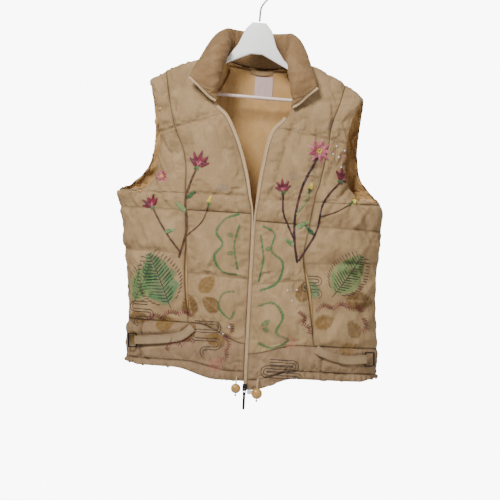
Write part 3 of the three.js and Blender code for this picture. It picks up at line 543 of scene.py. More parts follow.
@dataclass(frozen=True)
class Cloth:
    """Woven shell or satin: its colours, its sheen, and how much it crinkles."""

    name: str
    base: Colour
    shade: Colour
    light: Colour
    roughness: float = 0.72
    sheen: float = 0.04
    shine: float = 0.06
    crinkle: float = 0.5
    # seams: darkens the cloth near its seams, painted shade in the seam valleys
    seams: bool = False
    prints: bool = False
    thread_mm: float = 0.45

    def material(self) -> bpy.types.Material:
        """Builds the cloth's nodes."""
        sh = Shader(self.name)
        place = sh.place((1, 1, 1))
        broad = sh.grain(place, 14, 4, 0.62)
        patches = sh.blend(sh.ramp(broad, 0.3, 0.62, 0.5, 1), linear(*self.shade), linear(*self.base))
        glow = sh.grain(sh.place((1, 1, 0.6), (0.4, 0.9, 0.2)), 34, 3, 0.55)
        colour = sh.blend(sh.ramp(glow, 0.5, 0.8, 0, 0.55), patches, linear(*self.light))
        fibre = sh.grain(sh.place((700, 700, 180)), 1.0, 2, 0.6)
        colour = sh.blend(sh.ramp(fibre, 0.3, 0.7, 0.0, 0.3), colour, linear(*self.shade))
        # Painted shade: the seam attribute darkens the colour where the padding dips into its seams.
        if self.seams:
            sewn = sh.node("Attribute", {"attribute_name": "Seam"}).outputs["Fac"]
            dark = linear(*(c * 0.52 for c in self.shade))
            colour = sh.blend(sh.math("MULTIPLY", sewn, 0.62), colour, dark)
        rough = sh.ramp(broad, 0.3, 0.7, self.roughness - 0.06, self.roughness + 0.08)
        if self.prints:
            paint = sh.node("Attribute", {"attribute_name": "Print"})
            dry = sh.ramp(sh.grain(sh.place((1, 1, 1)), 260, 3, 0.65), 0.34, 0.54, 0.86, 1)
            cover = sh.math("MULTIPLY", paint.outputs["Alpha"], dry)
            colour = sh.blend(cover, colour, paint.outputs["Color"])
        threads = [sh.bands(way, place, BANDS_PER_METRE / self.thread_mm / 2) for way in "XZ"]
        weave = sh.math("MAXIMUM", *threads)
        normal = sh.bump(weave, 0.12, 0.12)
        fine = sh.grain(sh.place((1, 1, 0.55), (0.2, 0.1, 0.5)), 120, 3, 0.6)
        normal = sh.bump(fine, 0.7 * self.crinkle, 2.2, normal)
        slant = sh.place((1, 1, 0.6), (0.3, 0.5, 0.2))
        ridged = {"noise_type": "RIDGED_MULTIFRACTAL"}
        creases = sh.node("TexNoise", ridged, Vector=slant, Scale=30.0, Detail=3.0)
        normal = sh.bump(creases.outputs["Fac"], 0.55 * self.crinkle, 4.2, normal)
        return sh.finish(
            Base_Color=colour, Roughness=rough, Normal=normal,
            Sheen_Weight=self.sheen, Sheen_Roughness=0.45, Specular_IOR_Level=self.shine,
        )


@dataclass(frozen=True)
class Thread:
    """Embroidery or sewing thread, twisted and a little glossy."""

    name: str
    base: Colour
    light: Colour
    roughness: float = 0.42

    def material(self) -> bpy.types.Material:
        """Builds the thread's nodes."""
        sh = Shader(self.name)
        tint = sh.grain(sh.place((1, 1, 1)), 90, 2, 0.5)
        colour = sh.blend(sh.ramp(tint, 0.4, 0.62), linear(*self.base), linear(*self.light))
        normal = sh.bump(sh.bands("DIAGONAL", sh.place((1, 1, 1)), 420.0), 0.3, 0.15)
        rough = sh.ramp(tint, 0.3, 0.7, self.roughness - 0.05, self.roughness + 0.1)
        return sh.finish(
            Base_Color=colour, Roughness=rough, Normal=normal, Sheen_Weight=0.08, Sheen_Roughness=0.4,
        )


@dataclass(frozen=True)
class Hard:
    """Metal or plastic with fine scratches and rubbed patches."""

    name: str
    base: Colour
    worn: Colour
    roughness: float
    metallic: float = 0.0
    coat: float = 0.0
    grain_scale: float = 260.0
    relief: float = 0.15

    def material(self) -> bpy.types.Material:
        """Builds the nodes."""
        sh = Shader(self.name)
        rub = sh.grain(sh.place((1, 1, 1)), self.grain_scale, 4, 0.6)
        broad = sh.grain(sh.place((1, 1, 1)), self.grain_scale / 9, 2, 0.5)
        colour = sh.blend(sh.ramp(rub, 0.52, 0.75), linear(*self.base), linear(*self.worn))
        rough = sh.ramp(broad, 0.3, 0.7, max(0.05, self.roughness - 0.08), self.roughness + 0.1)
        normal = sh.bump(rub, self.relief, 0.08)
        return sh.finish(
            Base_Color=colour, Roughness=rough, Normal=normal, Metallic=self.metallic, Coat_Weight=self.coat,
        )


@dataclass(frozen=True)
class Ribbed:
    """A woven tape or braid: ribs across it and a soft nap."""

    name: str
    base: Colour
    groove: Colour
    pitch_mm: float
    direction: str = "Z"

    def material(self) -> bpy.types.Material:
        """Builds the nodes."""
        sh = Shader(self.name)
        place = sh.place((1, 1, 1))
        ribs = sh.bands(self.direction, place, BANDS_PER_METRE / self.pitch_mm, 1.2)
        nap = sh.grain(place, 700, 3, 0.6)
        # Painted shade: the rib grooves are coloured darker.
        colour = sh.blend(sh.ramp(ribs, 0.1, 0.6), linear(*self.groove), linear(*self.base))
        normal = sh.bump(nap, 0.2, 0.2, sh.bump(ribs, 0.5, 0.35))
        rough = sh.ramp(nap, 0.3, 0.7, 0.6, 0.8)
        return sh.finish(Base_Color=colour, Roughness=rough, Normal=normal, Sheen_Weight=0.2)


class Wardrobe:
    """Every finish of the vest and its hanger, built once."""

    def __init__(self) -> None:
        """Builds the materials."""
        nylon = ((161, 134, 99), (122, 97, 67), (190, 162, 124))
        # low and turned are the nylon's colours darkened as painted shade: low for the band and hem casings, which the
        # light reaches less, turned for the collar, which lies in shade.
        low = ((147, 121, 92), (111, 88, 64), (169, 143, 112))
        turned = ((142, 113, 80), (107, 82, 54), (168, 139, 104))
        self.shell = Cloth("shell_nylon", *nylon, seams=True, prints=True, crinkle=0.8).material()
        self.plain = Cloth("shell_nylon_plain", *nylon, seams=True, crinkle=0.8).material()
        self.band = Cloth("band_nylon_shaded", *low, seams=True, prints=True, crinkle=0.9).material()
        self.plain_band = Cloth("band_nylon_shaded_plain", *low, seams=True, crinkle=0.9).material()
        self.collar = Cloth("collar_nylon_shaded", *turned, seams=True, crinkle=0.9).material()
        strap = ((150, 127, 98), (116, 95, 70), (172, 148, 116))
        self.strap = Cloth("strap_nylon", *strap, roughness=0.64, seams=True, crinkle=0.4).material()
        satin = ((200, 160, 106), (166, 126, 76), (224, 190, 140))
        self.lining = Cloth("lining_satin", *satin, roughness=0.5, crinkle=0.7).material()
        self.tape = Ribbed("zip_tape_weave", (196, 168, 130), (154, 126, 92), 1.1).material()
        self.label = Ribbed("label_weave", (212, 184, 180), (190, 160, 156), 0.8).material()
        self.cord = Ribbed("drawcord_braid", (186, 160, 122), (140, 115, 82), 1.6, "DIAGONAL").material()
        self.dark_metal = Hard("dark_plated", (58, 55, 54), (110, 104, 98), 0.34, metallic=1.0).material()
        self.zip_teeth = Hard("zip_teeth", (202, 176, 138), (174, 146, 108), 0.4, relief=0.1).material()
        self.box = Hard("zip_box_resin", (206, 214, 226), (186, 194, 206), 0.45).material()
        self.toggle = Hard("toggle_resin", (176, 134, 72), (120, 82, 36), 0.36, coat=0.3, grain_scale=120).material()
        self.plastic = Hard("hanger_white", (250, 249, 247), (242, 240, 237), 0.4, grain_scale=60).material()
        # The bar's pinkish tint is painted warm reflection from the cloth round it, over white plastic like the
        # plate's.
        self.bar = Hard("hanger_bar_pale", (226, 203, 192), (214, 188, 176), 0.38, grain_scale=60).material()
        self.wire = Hard("hook_wire", (168, 165, 162), (205, 202, 198), 0.24, metallic=1.0).material()
        self.sewing = Thread("sewing_thread", (150, 124, 92), (176, 150, 116)).material()


# ------------------------------------------------------------------ meshes
def new_object(name: str, mesh: bpy.types.Mesh, materials: Sequence[bpy.types.Material]) -> bpy.types.Object:
    """Puts a mesh in the scene, smooth and dressed."""
    piece = bpy.data.objects.new(name, mesh)
    bpy.context.scene.collection.objects.link(piece)
    mesh.materials.clear()
    for material in materials:
        mesh.materials.append(material)
    mesh.shade_smooth()
    return piece


def to_mesh(bm: bmesh.types.BMesh, name: str) -> bpy.types.Mesh:
    """Ends a bmesh as a mesh."""
    mesh = bpy.data.meshes.new(name)
    bm.to_mesh(mesh)
    bm.free()
    return mesh


def tube(
    names: tuple[str, str], lines: Sequence[Sequence[Vector]], radius: float, roundness: int,
) -> bpy.types.Object:
    """A curve with round tubes along lines of points in metres.

    Args:
        names: the curve's name and its object's.
        lines: the tubes' middles.
        radius: their radius in millimetres.
        roundness: how finely they are rounded.

    Returns:
        The curve's object, in the scene.
    """
    curve = bpy.data.curves.new(names[0], "CURVE")
    curve.dimensions = "3D"
    curve.bevel_depth = radius * MM
    curve.bevel_resolution = roundness
    curve.use_fill_caps = True
    for line in lines:
        part = curve.splines.new("POLY")
        part.points.add(len(line) - 1)
        part.points.foreach_set("co", [c for p in line for c in (*p, 1.0)])
    piece = bpy.data.objects.new(names[1], curve)
    bpy.context.scene.collection.objects.link(piece)
    return piece


def tube_piece(
    name: str, lines: Sequence[Sequence[Vector]], radius: float, roundness: int, material: bpy.types.Material,
) -> bpy.types.Object:
    """Round tubes along lines, as one mesh."""
    carrier = tube((name, name + "_lines"), lines, radius, roundness)
    depsgraph = bpy.context.evaluated_depsgraph_get()
    mesh = bpy.data.meshes.new_from_object(carrier.evaluated_get(depsgraph))
    bpy.data.objects.remove(carrier)
    return new_object(name, mesh, [material])


def grid_mesh(name: str, points: Array, facing: Vector | None = None) -> bpy.types.Mesh:
    """A mesh of quads over a lattice of points.

    Args:
        name: the mesh's name.
        points: rows by columns by 3, in millimetres.
        facing: the side that the faces look to at the middle, or None to leave them.

    Returns:
        The mesh, in metres, with an even UV map.
    """
    rows, columns = points.shape[0] - 1, points.shape[1] - 1
    bm = bmesh.new()
    bm.loops.layers.uv.new("UVMap")
    bmesh.ops.create_grid(bm, x_segments=columns, y_segments=rows, size=0.5, calc_uvs=True)
    if facing is not None:
        j, i = rows // 2, columns // 2
        normal = np.cross(points[j, i + 1] - points[j, i], points[j + 1, i] - points[j, i])
        if float(normal @ np.array(facing)) < 0:
            bmesh.ops.reverse_faces(bm, faces=bm.faces[:])
    mesh = to_mesh(bm, name)
    flat = np.empty(len(mesh.vertices) * 3, np.float32)
    mesh.vertices.foreach_get("co", flat)
    where = flat.reshape(-1, 3)
    i = np.rint((where[:, 0] + 0.5) * columns).astype(int)
    j = np.rint((where[:, 1] + 0.5) * rows).astype(int)
    mesh.vertices.foreach_set("co", (points[j, i] * MM).astype(np.float32).ravel())
    mesh["lattice"] = [rows, columns]
    mesh.update()
    return mesh


def lattice_values(mesh: bpy.types.Mesh, values: Array) -> Array:
    """Values on a mesh's lattice, in the order of its vertices."""
    rows, columns = mesh["lattice"]
    loops = np.empty(len(mesh.loops), np.int32)
    mesh.loops.foreach_get("vertex_index", loops)
    uvs = np.empty(len(mesh.loops) * 2, np.float32)
    mesh.uv_layers[0].uv.foreach_get("vector", uvs)
    place = np.zeros((len(mesh.vertices), 2))
    place[loops] = uvs.reshape(-1, 2)
    i = np.clip(np.rint(place[:, 0] * columns).astype(int), 0, columns)
    j = np.clip(np.rint(place[:, 1] * rows).astype(int), 0, rows)
    return values[j, i]


def lattice_area(points: Array) -> float:
    """The area of a lattice given in millimetres, in square metres."""
    across, up = points[:-1, 1:] - points[:-1, :-1], points[1:, :-1] - points[:-1, :-1]
    return float(np.linalg.norm(np.cross(across, up), axis=-1).sum()) * MM * MM


def paint_attribute(mesh: bpy.types.Mesh, name: str, values: Array) -> None:
    """Stores a colour or a value for each vertex of a lattice mesh."""
    kind = "FLOAT_COLOR" if values.shape[-1] == 4 else "FLOAT"
    made = mesh.attributes.new(name, kind, "POINT")
    data = lattice_values(mesh, values).astype(np.float32).ravel()
    made.data.foreach_set("color" if kind == "FLOAT_COLOR" else "value", data)


def thicken(piece: bpy.types.Object, thickness: float, inner_material: int = 0) -> None:
    """Gives a skin its thickness, inwards."""
    solid = piece.modifiers.new("Thickness", "SOLIDIFY")
    solid.thickness = thickness * MM
    solid.offset = -1
    solid.material_offset = inner_material


def ride(piece: bpy.types.Object, slot: str, *nodes: str, body: str = VEST) -> bpy.types.Object:
    """Fixes a piece to its body and hides the nodes that it stands for."""
    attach(piece, body)
    if nodes:
        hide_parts(*nodes)
    LOG.info("%s rides on %s", piece.name, body)
    return piece


CLOTH_SETTINGS = {
    "quality": 4, "mass": 0.2, "tension_stiffness": 12, "compression_stiffness": 12,
    "shear_stiffness": 4, "bending_stiffness": 0.15, "vertex_group_mass": "sewn", "use_pressure": True,
}


@dataclass
class Swelling:
    """Lets wadding swell the cloth between its lines of stitching.

    The shell is a little larger than the room that its seams leave it, so it puckers along them.
    """

    frames: int = 12
    pressure: float = 1.6
    spare: float = 0.035
    cap: float = 3.2

    def settle(
        self, names: list[str], skins: list[Array], sewn: list[Array], facings: list[Vector],
    ) -> list[Array]:
        """Works out how far each skin moves.

        Args:
            names: the skins' names.
            skins: their coarse lattices, in millimetres.
            sewn: which points of each are held by stitching.
            facings: the side that each looks to.

        Returns:
            The moves, on the same lattices.
        """
        scene = bpy.context.scene
        pieces = []
        for name, skin, held, facing in zip(names, skins, sewn, facings):
            piece = new_object("swelling_" + name, grid_mesh(name, skin, facing), [])
            group = piece.vertex_groups.new(name="sewn")
            stitched = lattice_values(piece.data, held[..., None].astype(float))[:, 0] > 0.5
            group.add(np.flatnonzero(stitched).tolist(), 1.0, "REPLACE")
            cloth = piece.modifiers.new("Cloth", "CLOTH")
            for key, value in CLOTH_SETTINGS.items():
                setattr(cloth.settings, key, value)
            cloth.settings.uniform_pressure_force = self.pressure
            cloth.settings.shrink_min = cloth.settings.shrink_max = -self.spare
            cloth.settings.effector_weights.gravity = 0
            cloth.collision_settings.use_collision = False
            cloth.collision_settings.use_self_collision = False
            cloth.point_cache.frame_start = 1
            cloth.point_cache.frame_end = self.frames
            pieces.append(piece)
        for step in range(1, self.frames + 1):
            scene.frame_set(step)
        depsgraph = bpy.context.evaluated_depsgraph_get()
        moves = []
        for piece, skin in zip(pieces, skins):
            mesh = piece.evaluated_get(depsgraph).data
            flat = np.empty(len(mesh.vertices) * 3, np.float32)
            mesh.vertices.foreach_get("co", flat)
            rows, columns = skin.shape[0] - 1, skin.shape[1] - 1
            count = np.arange((rows + 1) * (columns + 1)).reshape(rows + 1, columns + 1)
            order = lattice_values(piece.data, count[..., None])[:, 0].astype(int)
            after = np.empty((len(order), 3))
            after[order] = flat.reshape(-1, 3) / MM
            move = after.reshape(skin.shape) - skin
            reach = np.linalg.norm(move, axis=-1, keepdims=True)
            moves.append(move * np.minimum(1, self.cap / np.maximum(reach, 1e-6)))
        for piece in pieces:
            bpy.data.objects.remove(piece)
        scene.frame_set(1)
        return moves


def resample(values: Array, rows: int, columns: int) -> Array:
    """Reads a coarse lattice at a finer one's points."""
    tall = spline(values, np.linspace(0, values.shape[0] - 1, rows + 1))
    wide = spline(tall.swapaxes(0, 1), np.linspace(0, values.shape[1] - 1, columns + 1))
    return wide.swapaxes(0, 1)


# ------------------------------------------------------------------ painted prints
@dataclass(frozen=True)
class LeafPrint:
    """A painted leaf: where its stalk starts, its length, width and lean, and its colour."""

    x: float
    z: float
    length: float
    width: float
    lean: float
    colour: Colour
    strength: float = 0.8
    lobes: int = 0

    def cover(self, x: Array, z: Array) -> Array:
        """How strongly the paint covers each point."""
        a = math.radians(self.lean)
        p = ((x - self.x) * math.sin(a) + (z - self.z) * math.cos(a)) / self.length
        q = ((x - self.x) * math.cos(a) - (z - self.z) * math.sin(a)) / (self.width / 2)
        inside = np.clip(p, 0, 1)
        edge = np.sin(np.pi * inside**0.8) ** 0.75
        if self.lobes:
            edge = edge * (0.78 + 0.22 * np.abs(np.cos(np.pi * inside * self.lobes)))
        body = smooth(edge - np.abs(q), 0.0, 0.12) * ((p > 0) & (p < 1))
        rib = np.exp(-((q * self.width / 2 / 1.2) ** 2))
        veins = np.abs(np.cos(np.pi * (p * 5 - np.abs(q) * 1.3)))
        vein = smooth(veins, 0.9, 1.0) * 0.3
        mottled = 0.84 + 0.16 * noise(x / 9 + 40, z / 9 + 90, 5)
        return body * self.strength * (1 - 0.5 * rib - vein) * mottled


@dataclass(frozen=True)
class BrushLine:
    """A line drawn with a half-dry brush through a few points."""

    points: tuple[tuple[float, float], ...]
    width: float
    colour: Colour
    strength: float = 0.95

    def route(self, steps: int = 12) -> Array:
        """The line as many short steps."""
        knots = np.array(self.points, float)
        return spline(knots, np.linspace(0, len(knots) - 1, (len(knots) - 1) * steps + 1))

    def cover(self, x: Array, z: Array) -> Array:
        """How strongly the paint covers each point."""
        best = distance_to(self.route(), x, z)
        width = self.width * (0.75 + 0.35 * noise(x / 15, z / 15, 9))
        dry = 0.88 + 0.12 * noise(x / 3, z / 3, 3)
        return smooth(width / 2 + 0.8 - best, 0, 1.4) * self.strength * dry


GREEN: Colour = (66, 112, 74)
PALE_GREEN: Colour = (88, 124, 74)
SEA_GREEN: Colour = (14, 100, 58)
OCHRE: Colour = (88, 62, 24)
GOLD: Colour = (108, 78, 30)
ROSE: Colour = (172, 108, 94)
GREY: Colour = (112, 104, 104)

PRINTS: dict[Side, tuple[LeafPrint | BrushLine, ...]] = {
    Side.RIGHT: (
        LeafPrint(-150, -668, 116, 80, -26, GREEN, 0.95, 4),
        LeafPrint(-226, -664, 84, 52, 22, PALE_GREEN, 0.9, 3),
        LeafPrint(-238, -700, 46, 30, 88, OCHRE, 0.85),
        LeafPrint(-176, -716, 44, 32, 64, GOLD, 0.85),
        LeafPrint(-120, -742, 50, 34, 30, OCHRE, 0.9),
        LeafPrint(-102, -690, 48, 36, -14, OCHRE, 0.9),
        LeafPrint(-88, -640, 46, 32, 40, GOLD, 0.8),
        LeafPrint(-46, -676, 44, 32, -52, OCHRE, 0.85),
        LeafPrint(-30, -740, 46, 30, -74, GOLD, 0.85),
        LeafPrint(-64, -792, 40, 28, 60, ROSE, 0.5),
        LeafPrint(-206, -748, 40, 26, -64, GOLD, 0.7),
        LeafPrint(-64, -436, 26, 15, 30, GREY, 0.45, 4),
        LeafPrint(-40, -432, 22, 13, -50, GREY, 0.4, 3),
        BrushLine(
            ((-18, -478), (-44, -490), (-60, -516), (-46, -540), (-62, -566), (-46, -594), (-16, -600)),
            5.2, SEA_GREEN,
        ),
        BrushLine(((-14, -500), (-22, -540), (-14, -588)), 4.4, SEA_GREEN),
        BrushLine(((-18, -634), (-40, -640), (-46, -668), (-24, -690), (-16, -676)), 4.6, SEA_GREEN),
        LeafPrint(-22, -524, 18, 9, -70, SEA_GREEN, 0.9),
        LeafPrint(-20, -556, 18, 9, -100, SEA_GREEN, 0.9),
    ),
    Side.LEFT: (
        LeafPrint(184, -628, 96, 62, 32, PALE_GREEN, 0.92, 0),
        LeafPrint(150, -640, 46, 30, -30, GREEN, 0.9, 3),
        LeafPrint(206, -640, 54, 42, 92, OCHRE, 0.85),
        LeafPrint(118, -650, 46, 32, 8, OCHRE, 0.85),
        LeafPrint(146, -694, 44, 30, 70, GOLD, 0.85),
        LeafPrint(236, -716, 42, 28, -30, OCHRE, 0.75),
        LeafPrint(200, -748, 38, 26, 60, GOLD, 0.6),
        LeafPrint(110, -742, 40, 26, -44, ROSE, 0.5),
        LeafPrint(96, -404, 24, 14, -40, GREY, 0.45, 3),
        LeafPrint(150, -300, 26, 16, 24, GREY, 0.4, 4),
        BrushLine(((34, -500), (58, -514), (54, -548), (78, -572), (68, -612), (34, -630)), 5.2, SEA_GREEN),
        BrushLine(((30, -520), (38, -566), (30, -612)), 4.4, SEA_GREEN),
        BrushLine(
            ((34, -660), (64, -654), (84, -680), (72, -712), (96, -726), (64, -744), (38, -736)),
            5.2, SEA_GREEN,
        ),
        LeafPrint(40, -548, 18, 9, 70, SEA_GREEN, 0.9),
        LeafPrint(40, -700, 24, 11, 60, SEA_GREEN, 0.9),
        LeafPrint(42, -704, 22, 10, 110, SEA_GREEN, 0.9),
    ),
}


def paint(side: Side, points: Array) -> Array:
    """The prints' colour and cover over a front's lattice."""
    x, z = points[..., 0], points[..., 2]
    colour = np.zeros(x.shape + (3,))
    total = np.zeros(x.shape)
    for each in PRINTS[side]:
        cover = each.cover(x, z)
        tone = np.array(linear(*each.colour, alpha=False))
        share = cover / np.maximum(cover + total * (1 - cover), 1e-6)
        colour = colour * (1 - share[..., None]) + tone * share[..., None]
        total = cover + total * (1 - cover)
    return np.concatenate([colour, total[..., None]], -1)


# ------------------------------------------------------------------ padded panels
@dataclass(frozen=True)
class Relief:
    """How high each unevenness of a padded panel stands, and how far some of them reach."""

    pucker: float = 2.6
    pucker_reach: float = 14.0
    tug: float = 1.8
    tug_reach: float = 13.0
    swell: float = 1.9
    dent: float = 1.1
    fold: float = 2.0
    crease: float = 1.35
    gather: float = 2.8
    cross_dip: float = 3.6
    cross_reach: float = 5.0
    stitch_reach: float = 1.3
    lowest: float = -0.5


RELIEF = Relief()


@dataclass
class Panel:
    """One padded piece of the shell between two rows and two seams."""

    name: str
    surface: SurfaceFn
    facing: Vector
    rows: tuple[float, float]
    channels: tuple[float, ...]
    height: float
    size: tuple[float, float]
    seed: int
    gathered: bool = False
    spacing: float = 2.1
    side: Side | None = None
    cross_seam: float | None = None

    def row_of(self, t: Array) -> Array:
        """The table row at the share t of the panel's height."""
        return mix(self.rows[0], self.rows[1], t)

    def channel_share(self, v: Array) -> tuple[Array, Array]:
        """Where v lies between its two channels, and how tall that space is in rows."""
        knots = np.array(self.channels, float)
        k = np.clip(np.searchsorted(knots, v, side="right") - 1, 0, len(knots) - 2)
        tall = knots[k + 1] - knots[k]
        return np.clip((v - knots[k]) / tall, 0, 1), tall

    def skin(self, spacing: float) -> tuple[Array, Array, Array, Array]:
        """The outer skin at a spacing: its points, its lattice shares, and its nearness to seams for the painted seam
        shade.
        """
        columns = max(8, round(self.size[0] / spacing))
        rows = max(6, round(self.size[1] / spacing))
        s, t = shares(columns, rows)
        base = self.surface(s, t)
        normal = facing_normals(self.surface, s, t, self.facing)
        part, tall = self.channel_share(self.row_of(t))
        x, z = base[..., 0], base[..., 2]
        lift = self.height * puff_curve(part) * puff_curve(s)
        to_line = np.minimum(part, 1 - part) * tall * ROW_HEIGHT
        to_edge = np.minimum(s, 1 - s) * self.size[0]
        off_line, off_edge = smooth(to_line, 0.5, 7), smooth(to_edge, 0.5, 7)
        pucker = noise(x / 6.5 + self.seed, z / 26, self.seed)
        pucker = pucker + 0.5 * noise(x / 3.4, z / 16, self.seed + 1)
        lift += RELIEF.pucker * pucker * np.exp(-to_line / RELIEF.pucker_reach) * off_line * off_edge
        tug = noise(z / 7 + self.seed, x / 24, self.seed + 2)
        lift += RELIEF.tug * tug * np.exp(-to_edge / RELIEF.tug_reach) * off_edge * off_line
        calm = smooth(to_line, 0, 8) * smooth(to_edge, 0, 8)
        swell, dent = noise(x / 34 + 7, z / 46 + self.seed, 11), noise(x / 15, z / 21, 12)
        lift += calm * (RELIEF.swell * swell + RELIEF.dent * dent)
        fold = noise((x + 0.5 * z) / 24 + self.seed, (z - 0.4 * x) / 58, 13)
        lift += calm * RELIEF.fold * (1 - np.abs(fold)) ** 4
        if self.side is not None:
            lift += calm * RELIEF.crease * line_relief(CREASES[self.side], x, z)
        if self.gathered:
            ends = smooth(to_line, 0.5, 6) * smooth(to_edge, 3, 20)
            lift += RELIEF.gather * ends * noise(x / 5.2 + 3, z / 60, self.seed + 4)
        lift = np.maximum(lift, RELIEF.lowest)
        # Nearness to the seams, which darkens the cloth there as painted shade.
        sewn = np.exp(-to_line / RELIEF.stitch_reach) + np.exp(-to_edge / RELIEF.stitch_reach)
        if self.cross_seam is not None:
            beside = np.abs(x - self.cross_seam)
            dip = np.exp(-((beside / RELIEF.cross_reach) ** 2))
            lift -= RELIEF.cross_dip * dip * smooth(to_line, 0, 4)
            sewn = sewn + np.exp(-beside / RELIEF.stitch_reach)
        if self.side is not None:
            lift = mix(lift, np.minimum(lift, STRAP_ROOM), strap_cover(self.side, x, z))
        return base + normal * lift[..., None], s, t, np.clip(sewn, 0, 1)

    def held(self, s: Array, t: Array) -> Array:
        """Which lattice points the stitching holds."""
        part, tall = self.channel_share(self.row_of(t))
        step = (self.rows[1] - self.rows[0]) / (s.shape[0] - 1)
        on_line = np.minimum(part, 1 - part) * tall < step * 0.6
        return on_line | (s <= 0) | (s >= 1) | (t <= 0) | (t >= 1)

    def build(
        self, move: Array | None, materials: Sequence[bpy.types.Material], clamp: float,
    ) -> bpy.types.Object:
        """Makes the panel.

        Args:
            move: how far its wadding swelled, or None.
            materials: the shell's and the lining's finishes.
            clamp: the side of the seam plane that it keeps to, -1 in front and 1 behind.

        Returns:
            The panel's object.
        """
        points, s, t, sewn = self.skin(self.spacing)
        if move is not None:
            edge = np.minimum(s, 1 - s) * self.size[0]
            end = np.minimum(t, 1 - t) * self.size[1]
            free = smooth(edge, 0, 14) * smooth(end, 0, 9)
            if self.side is not None:
                free = free * (1 - strap_cover(self.side, points[..., 0], points[..., 2]))
            points = points + resample(move, points.shape[0] - 1, points.shape[1] - 1) * free[..., None]
        limit = clamp * SHOULDER_GAP / 2
        keep = np.minimum if clamp < 0 else np.maximum
        points[..., 1] = keep(points[..., 1], limit)
        mesh = grid_mesh(self.name, points, self.facing)
        # Painted shade along the seams.
        paint_attribute(mesh, "Seam", sewn[..., None])
        if self.side is not None:
            paint_attribute(mesh, "Print", paint(self.side, points))
        piece = new_object(self.name, mesh, materials)
        thicken(piece, PADDED_WALL - 0.4, 1)
        return piece


class Vest:
    """The garment's padded panels: both fronts, the back and their hem casings."""

    row_gap = -SEAM_LAP / ROW_HEIGHT
    gap = -SEAM_LAP / PANEL_WIDTH
    swelling = Swelling()
    coarse = 5.0

    def __init__(self, finishes: Wardrobe) -> None:
        """Lists the panels."""
        self.finishes = finishes
        self.panels: list[tuple[Panel, str, float]] = []
        for side in Side:
            self.add_front(side)
        self.add_back()

    def pocket_gape(self, side: Side, v: Array) -> Array:
        """How far the pocket's mouth hangs open, as a share of the front."""
        low, high = POCKETS[side]
        return POCKET_GAPE * np.sin(np.pi * np.clip((v - low) / (high - low), 0, 1)) / PANEL_WIDTH

    def add_front(self, side: Side) -> None:
        """Lists one front's five pieces."""
        shell = FrontShell(side)
        facing = Vector((side.value * 0.2, -1, 0))

        def whole(s: Array, v: Array) -> Array:
            return np.sin(s * np.pi / 2)

        def centre(s: Array, v: Array) -> Array:
            return s * (shell.seam(v) - self.gap)

        def outer(s: Array, v: Array) -> Array:
            start = shell.seam(v) + self.gap + self.pocket_gape(side, v)
            return mix(start, 1.0, np.sin(s * np.pi / 2))

        pieces = (
            ("hem_casing", (HEM, CASING), whole, (HEM, CASING), 4.0, (380, 22), True),
            ("band", (CASING, BAND), whole, (CASING, BAND), 4.5, (380, 66), False),
            ("centre_lower", (BAND, CHEST), centre, (BAND, 3.4, CHEST), 5.0, (122, 262), False),
            ("centre_upper", (CHEST, SHOULDER), centre, (CHEST, UNDERARM, CHEST_LINE, SHOULDER), 5.0, (112, 330), False),
            ("side", (BAND, SHOULDER), outer, (BAND, 3.9, CHEST, UNDERARM, CHEST_LINE, SHOULDER), 5.0, (135, 560), False),
        )
        for k, (word, ends, place, channels, height, size, gathered) in enumerate(pieces):
            rows = (ends[0] + self.row_gap, ends[1] - self.row_gap)
            name = f"front_{side.word}_{word}"

            def surface(s: Array, t: Array, rows=rows, place=place) -> Array:
                v = mix(rows[0], rows[1], t)
                return shell.point(place(s, v), v)

            seed = 20 + 10 * k + side.value * 3
            cross = BAND_SEAMS[side] if word == "band" else None
            panel = Panel(
                name, surface, facing, rows, channels, height, size, seed, gathered, side=side, cross_seam=cross,
            )
            self.panels.append((panel, name, -1.0))

    def add_back(self) -> None:
        """Lists the back and its hem casing."""
        shell = BackShell()
        channels = (CASING, BAND, 3.4, CHEST, 6.4, 8.4, 11, SHOULDER)
        pieces = (
            ("back_hem_casing", (HEM, CASING), (HEM, CASING), 4.0, (530, 20), True),
            ("back", (CASING, SHOULDER), channels, 5.0, (530, 620), False),
        )
        for k, (name, ends, lines, height, size, gathered) in enumerate(pieces):
            rows = (ends[0] + self.row_gap, ends[1] - self.row_gap)

            def surface(s: Array, t: Array, rows=rows) -> Array:
                return shell.point(0.5 - 0.5 * np.cos(np.pi * s), mix(rows[0], rows[1], t))

            panel = Panel(
                name, surface, OUT_BACK, rows, lines, height, size, 70 + k, gathered, spacing=3.2,
            )
            self.panels.append((panel, name, 1.0))

    def build(self) -> dict[str, bpy.types.Object]:
        """Swells and makes every panel."""
        moves: list[Array | None] = [None] * len(self.panels)
        skins = [panel.skin(self.coarse) for panel, _, _ in self.panels]
        moves = self.swelling.settle(
            [panel.name for panel, _, _ in self.panels],
            [skin[0] for skin in skins],
            [panel.held(skin[1], skin[2]) for (panel, _, _), skin in zip(self.panels, skins)],
            [panel.facing for panel, _, _ in self.panels],
        )
        made = {}
        for (panel, node, clamp), move in zip(self.panels, moves):
            shell = self.finishes.shell if panel.side else self.finishes.plain
            # The band and hem casings take the darker cloth, painted shade.
            if "hem_casing" in node or "band" in node:
                shell = self.finishes.band if panel.side else self.finishes.plain_band
            inside = shell if panel.gathered else self.finishes.lining
            piece = panel.build(move, (shell, inside), clamp)
            made[node] = ride(piece, "shell", node)
            piece.name = panel.name + "_shell"
        return made


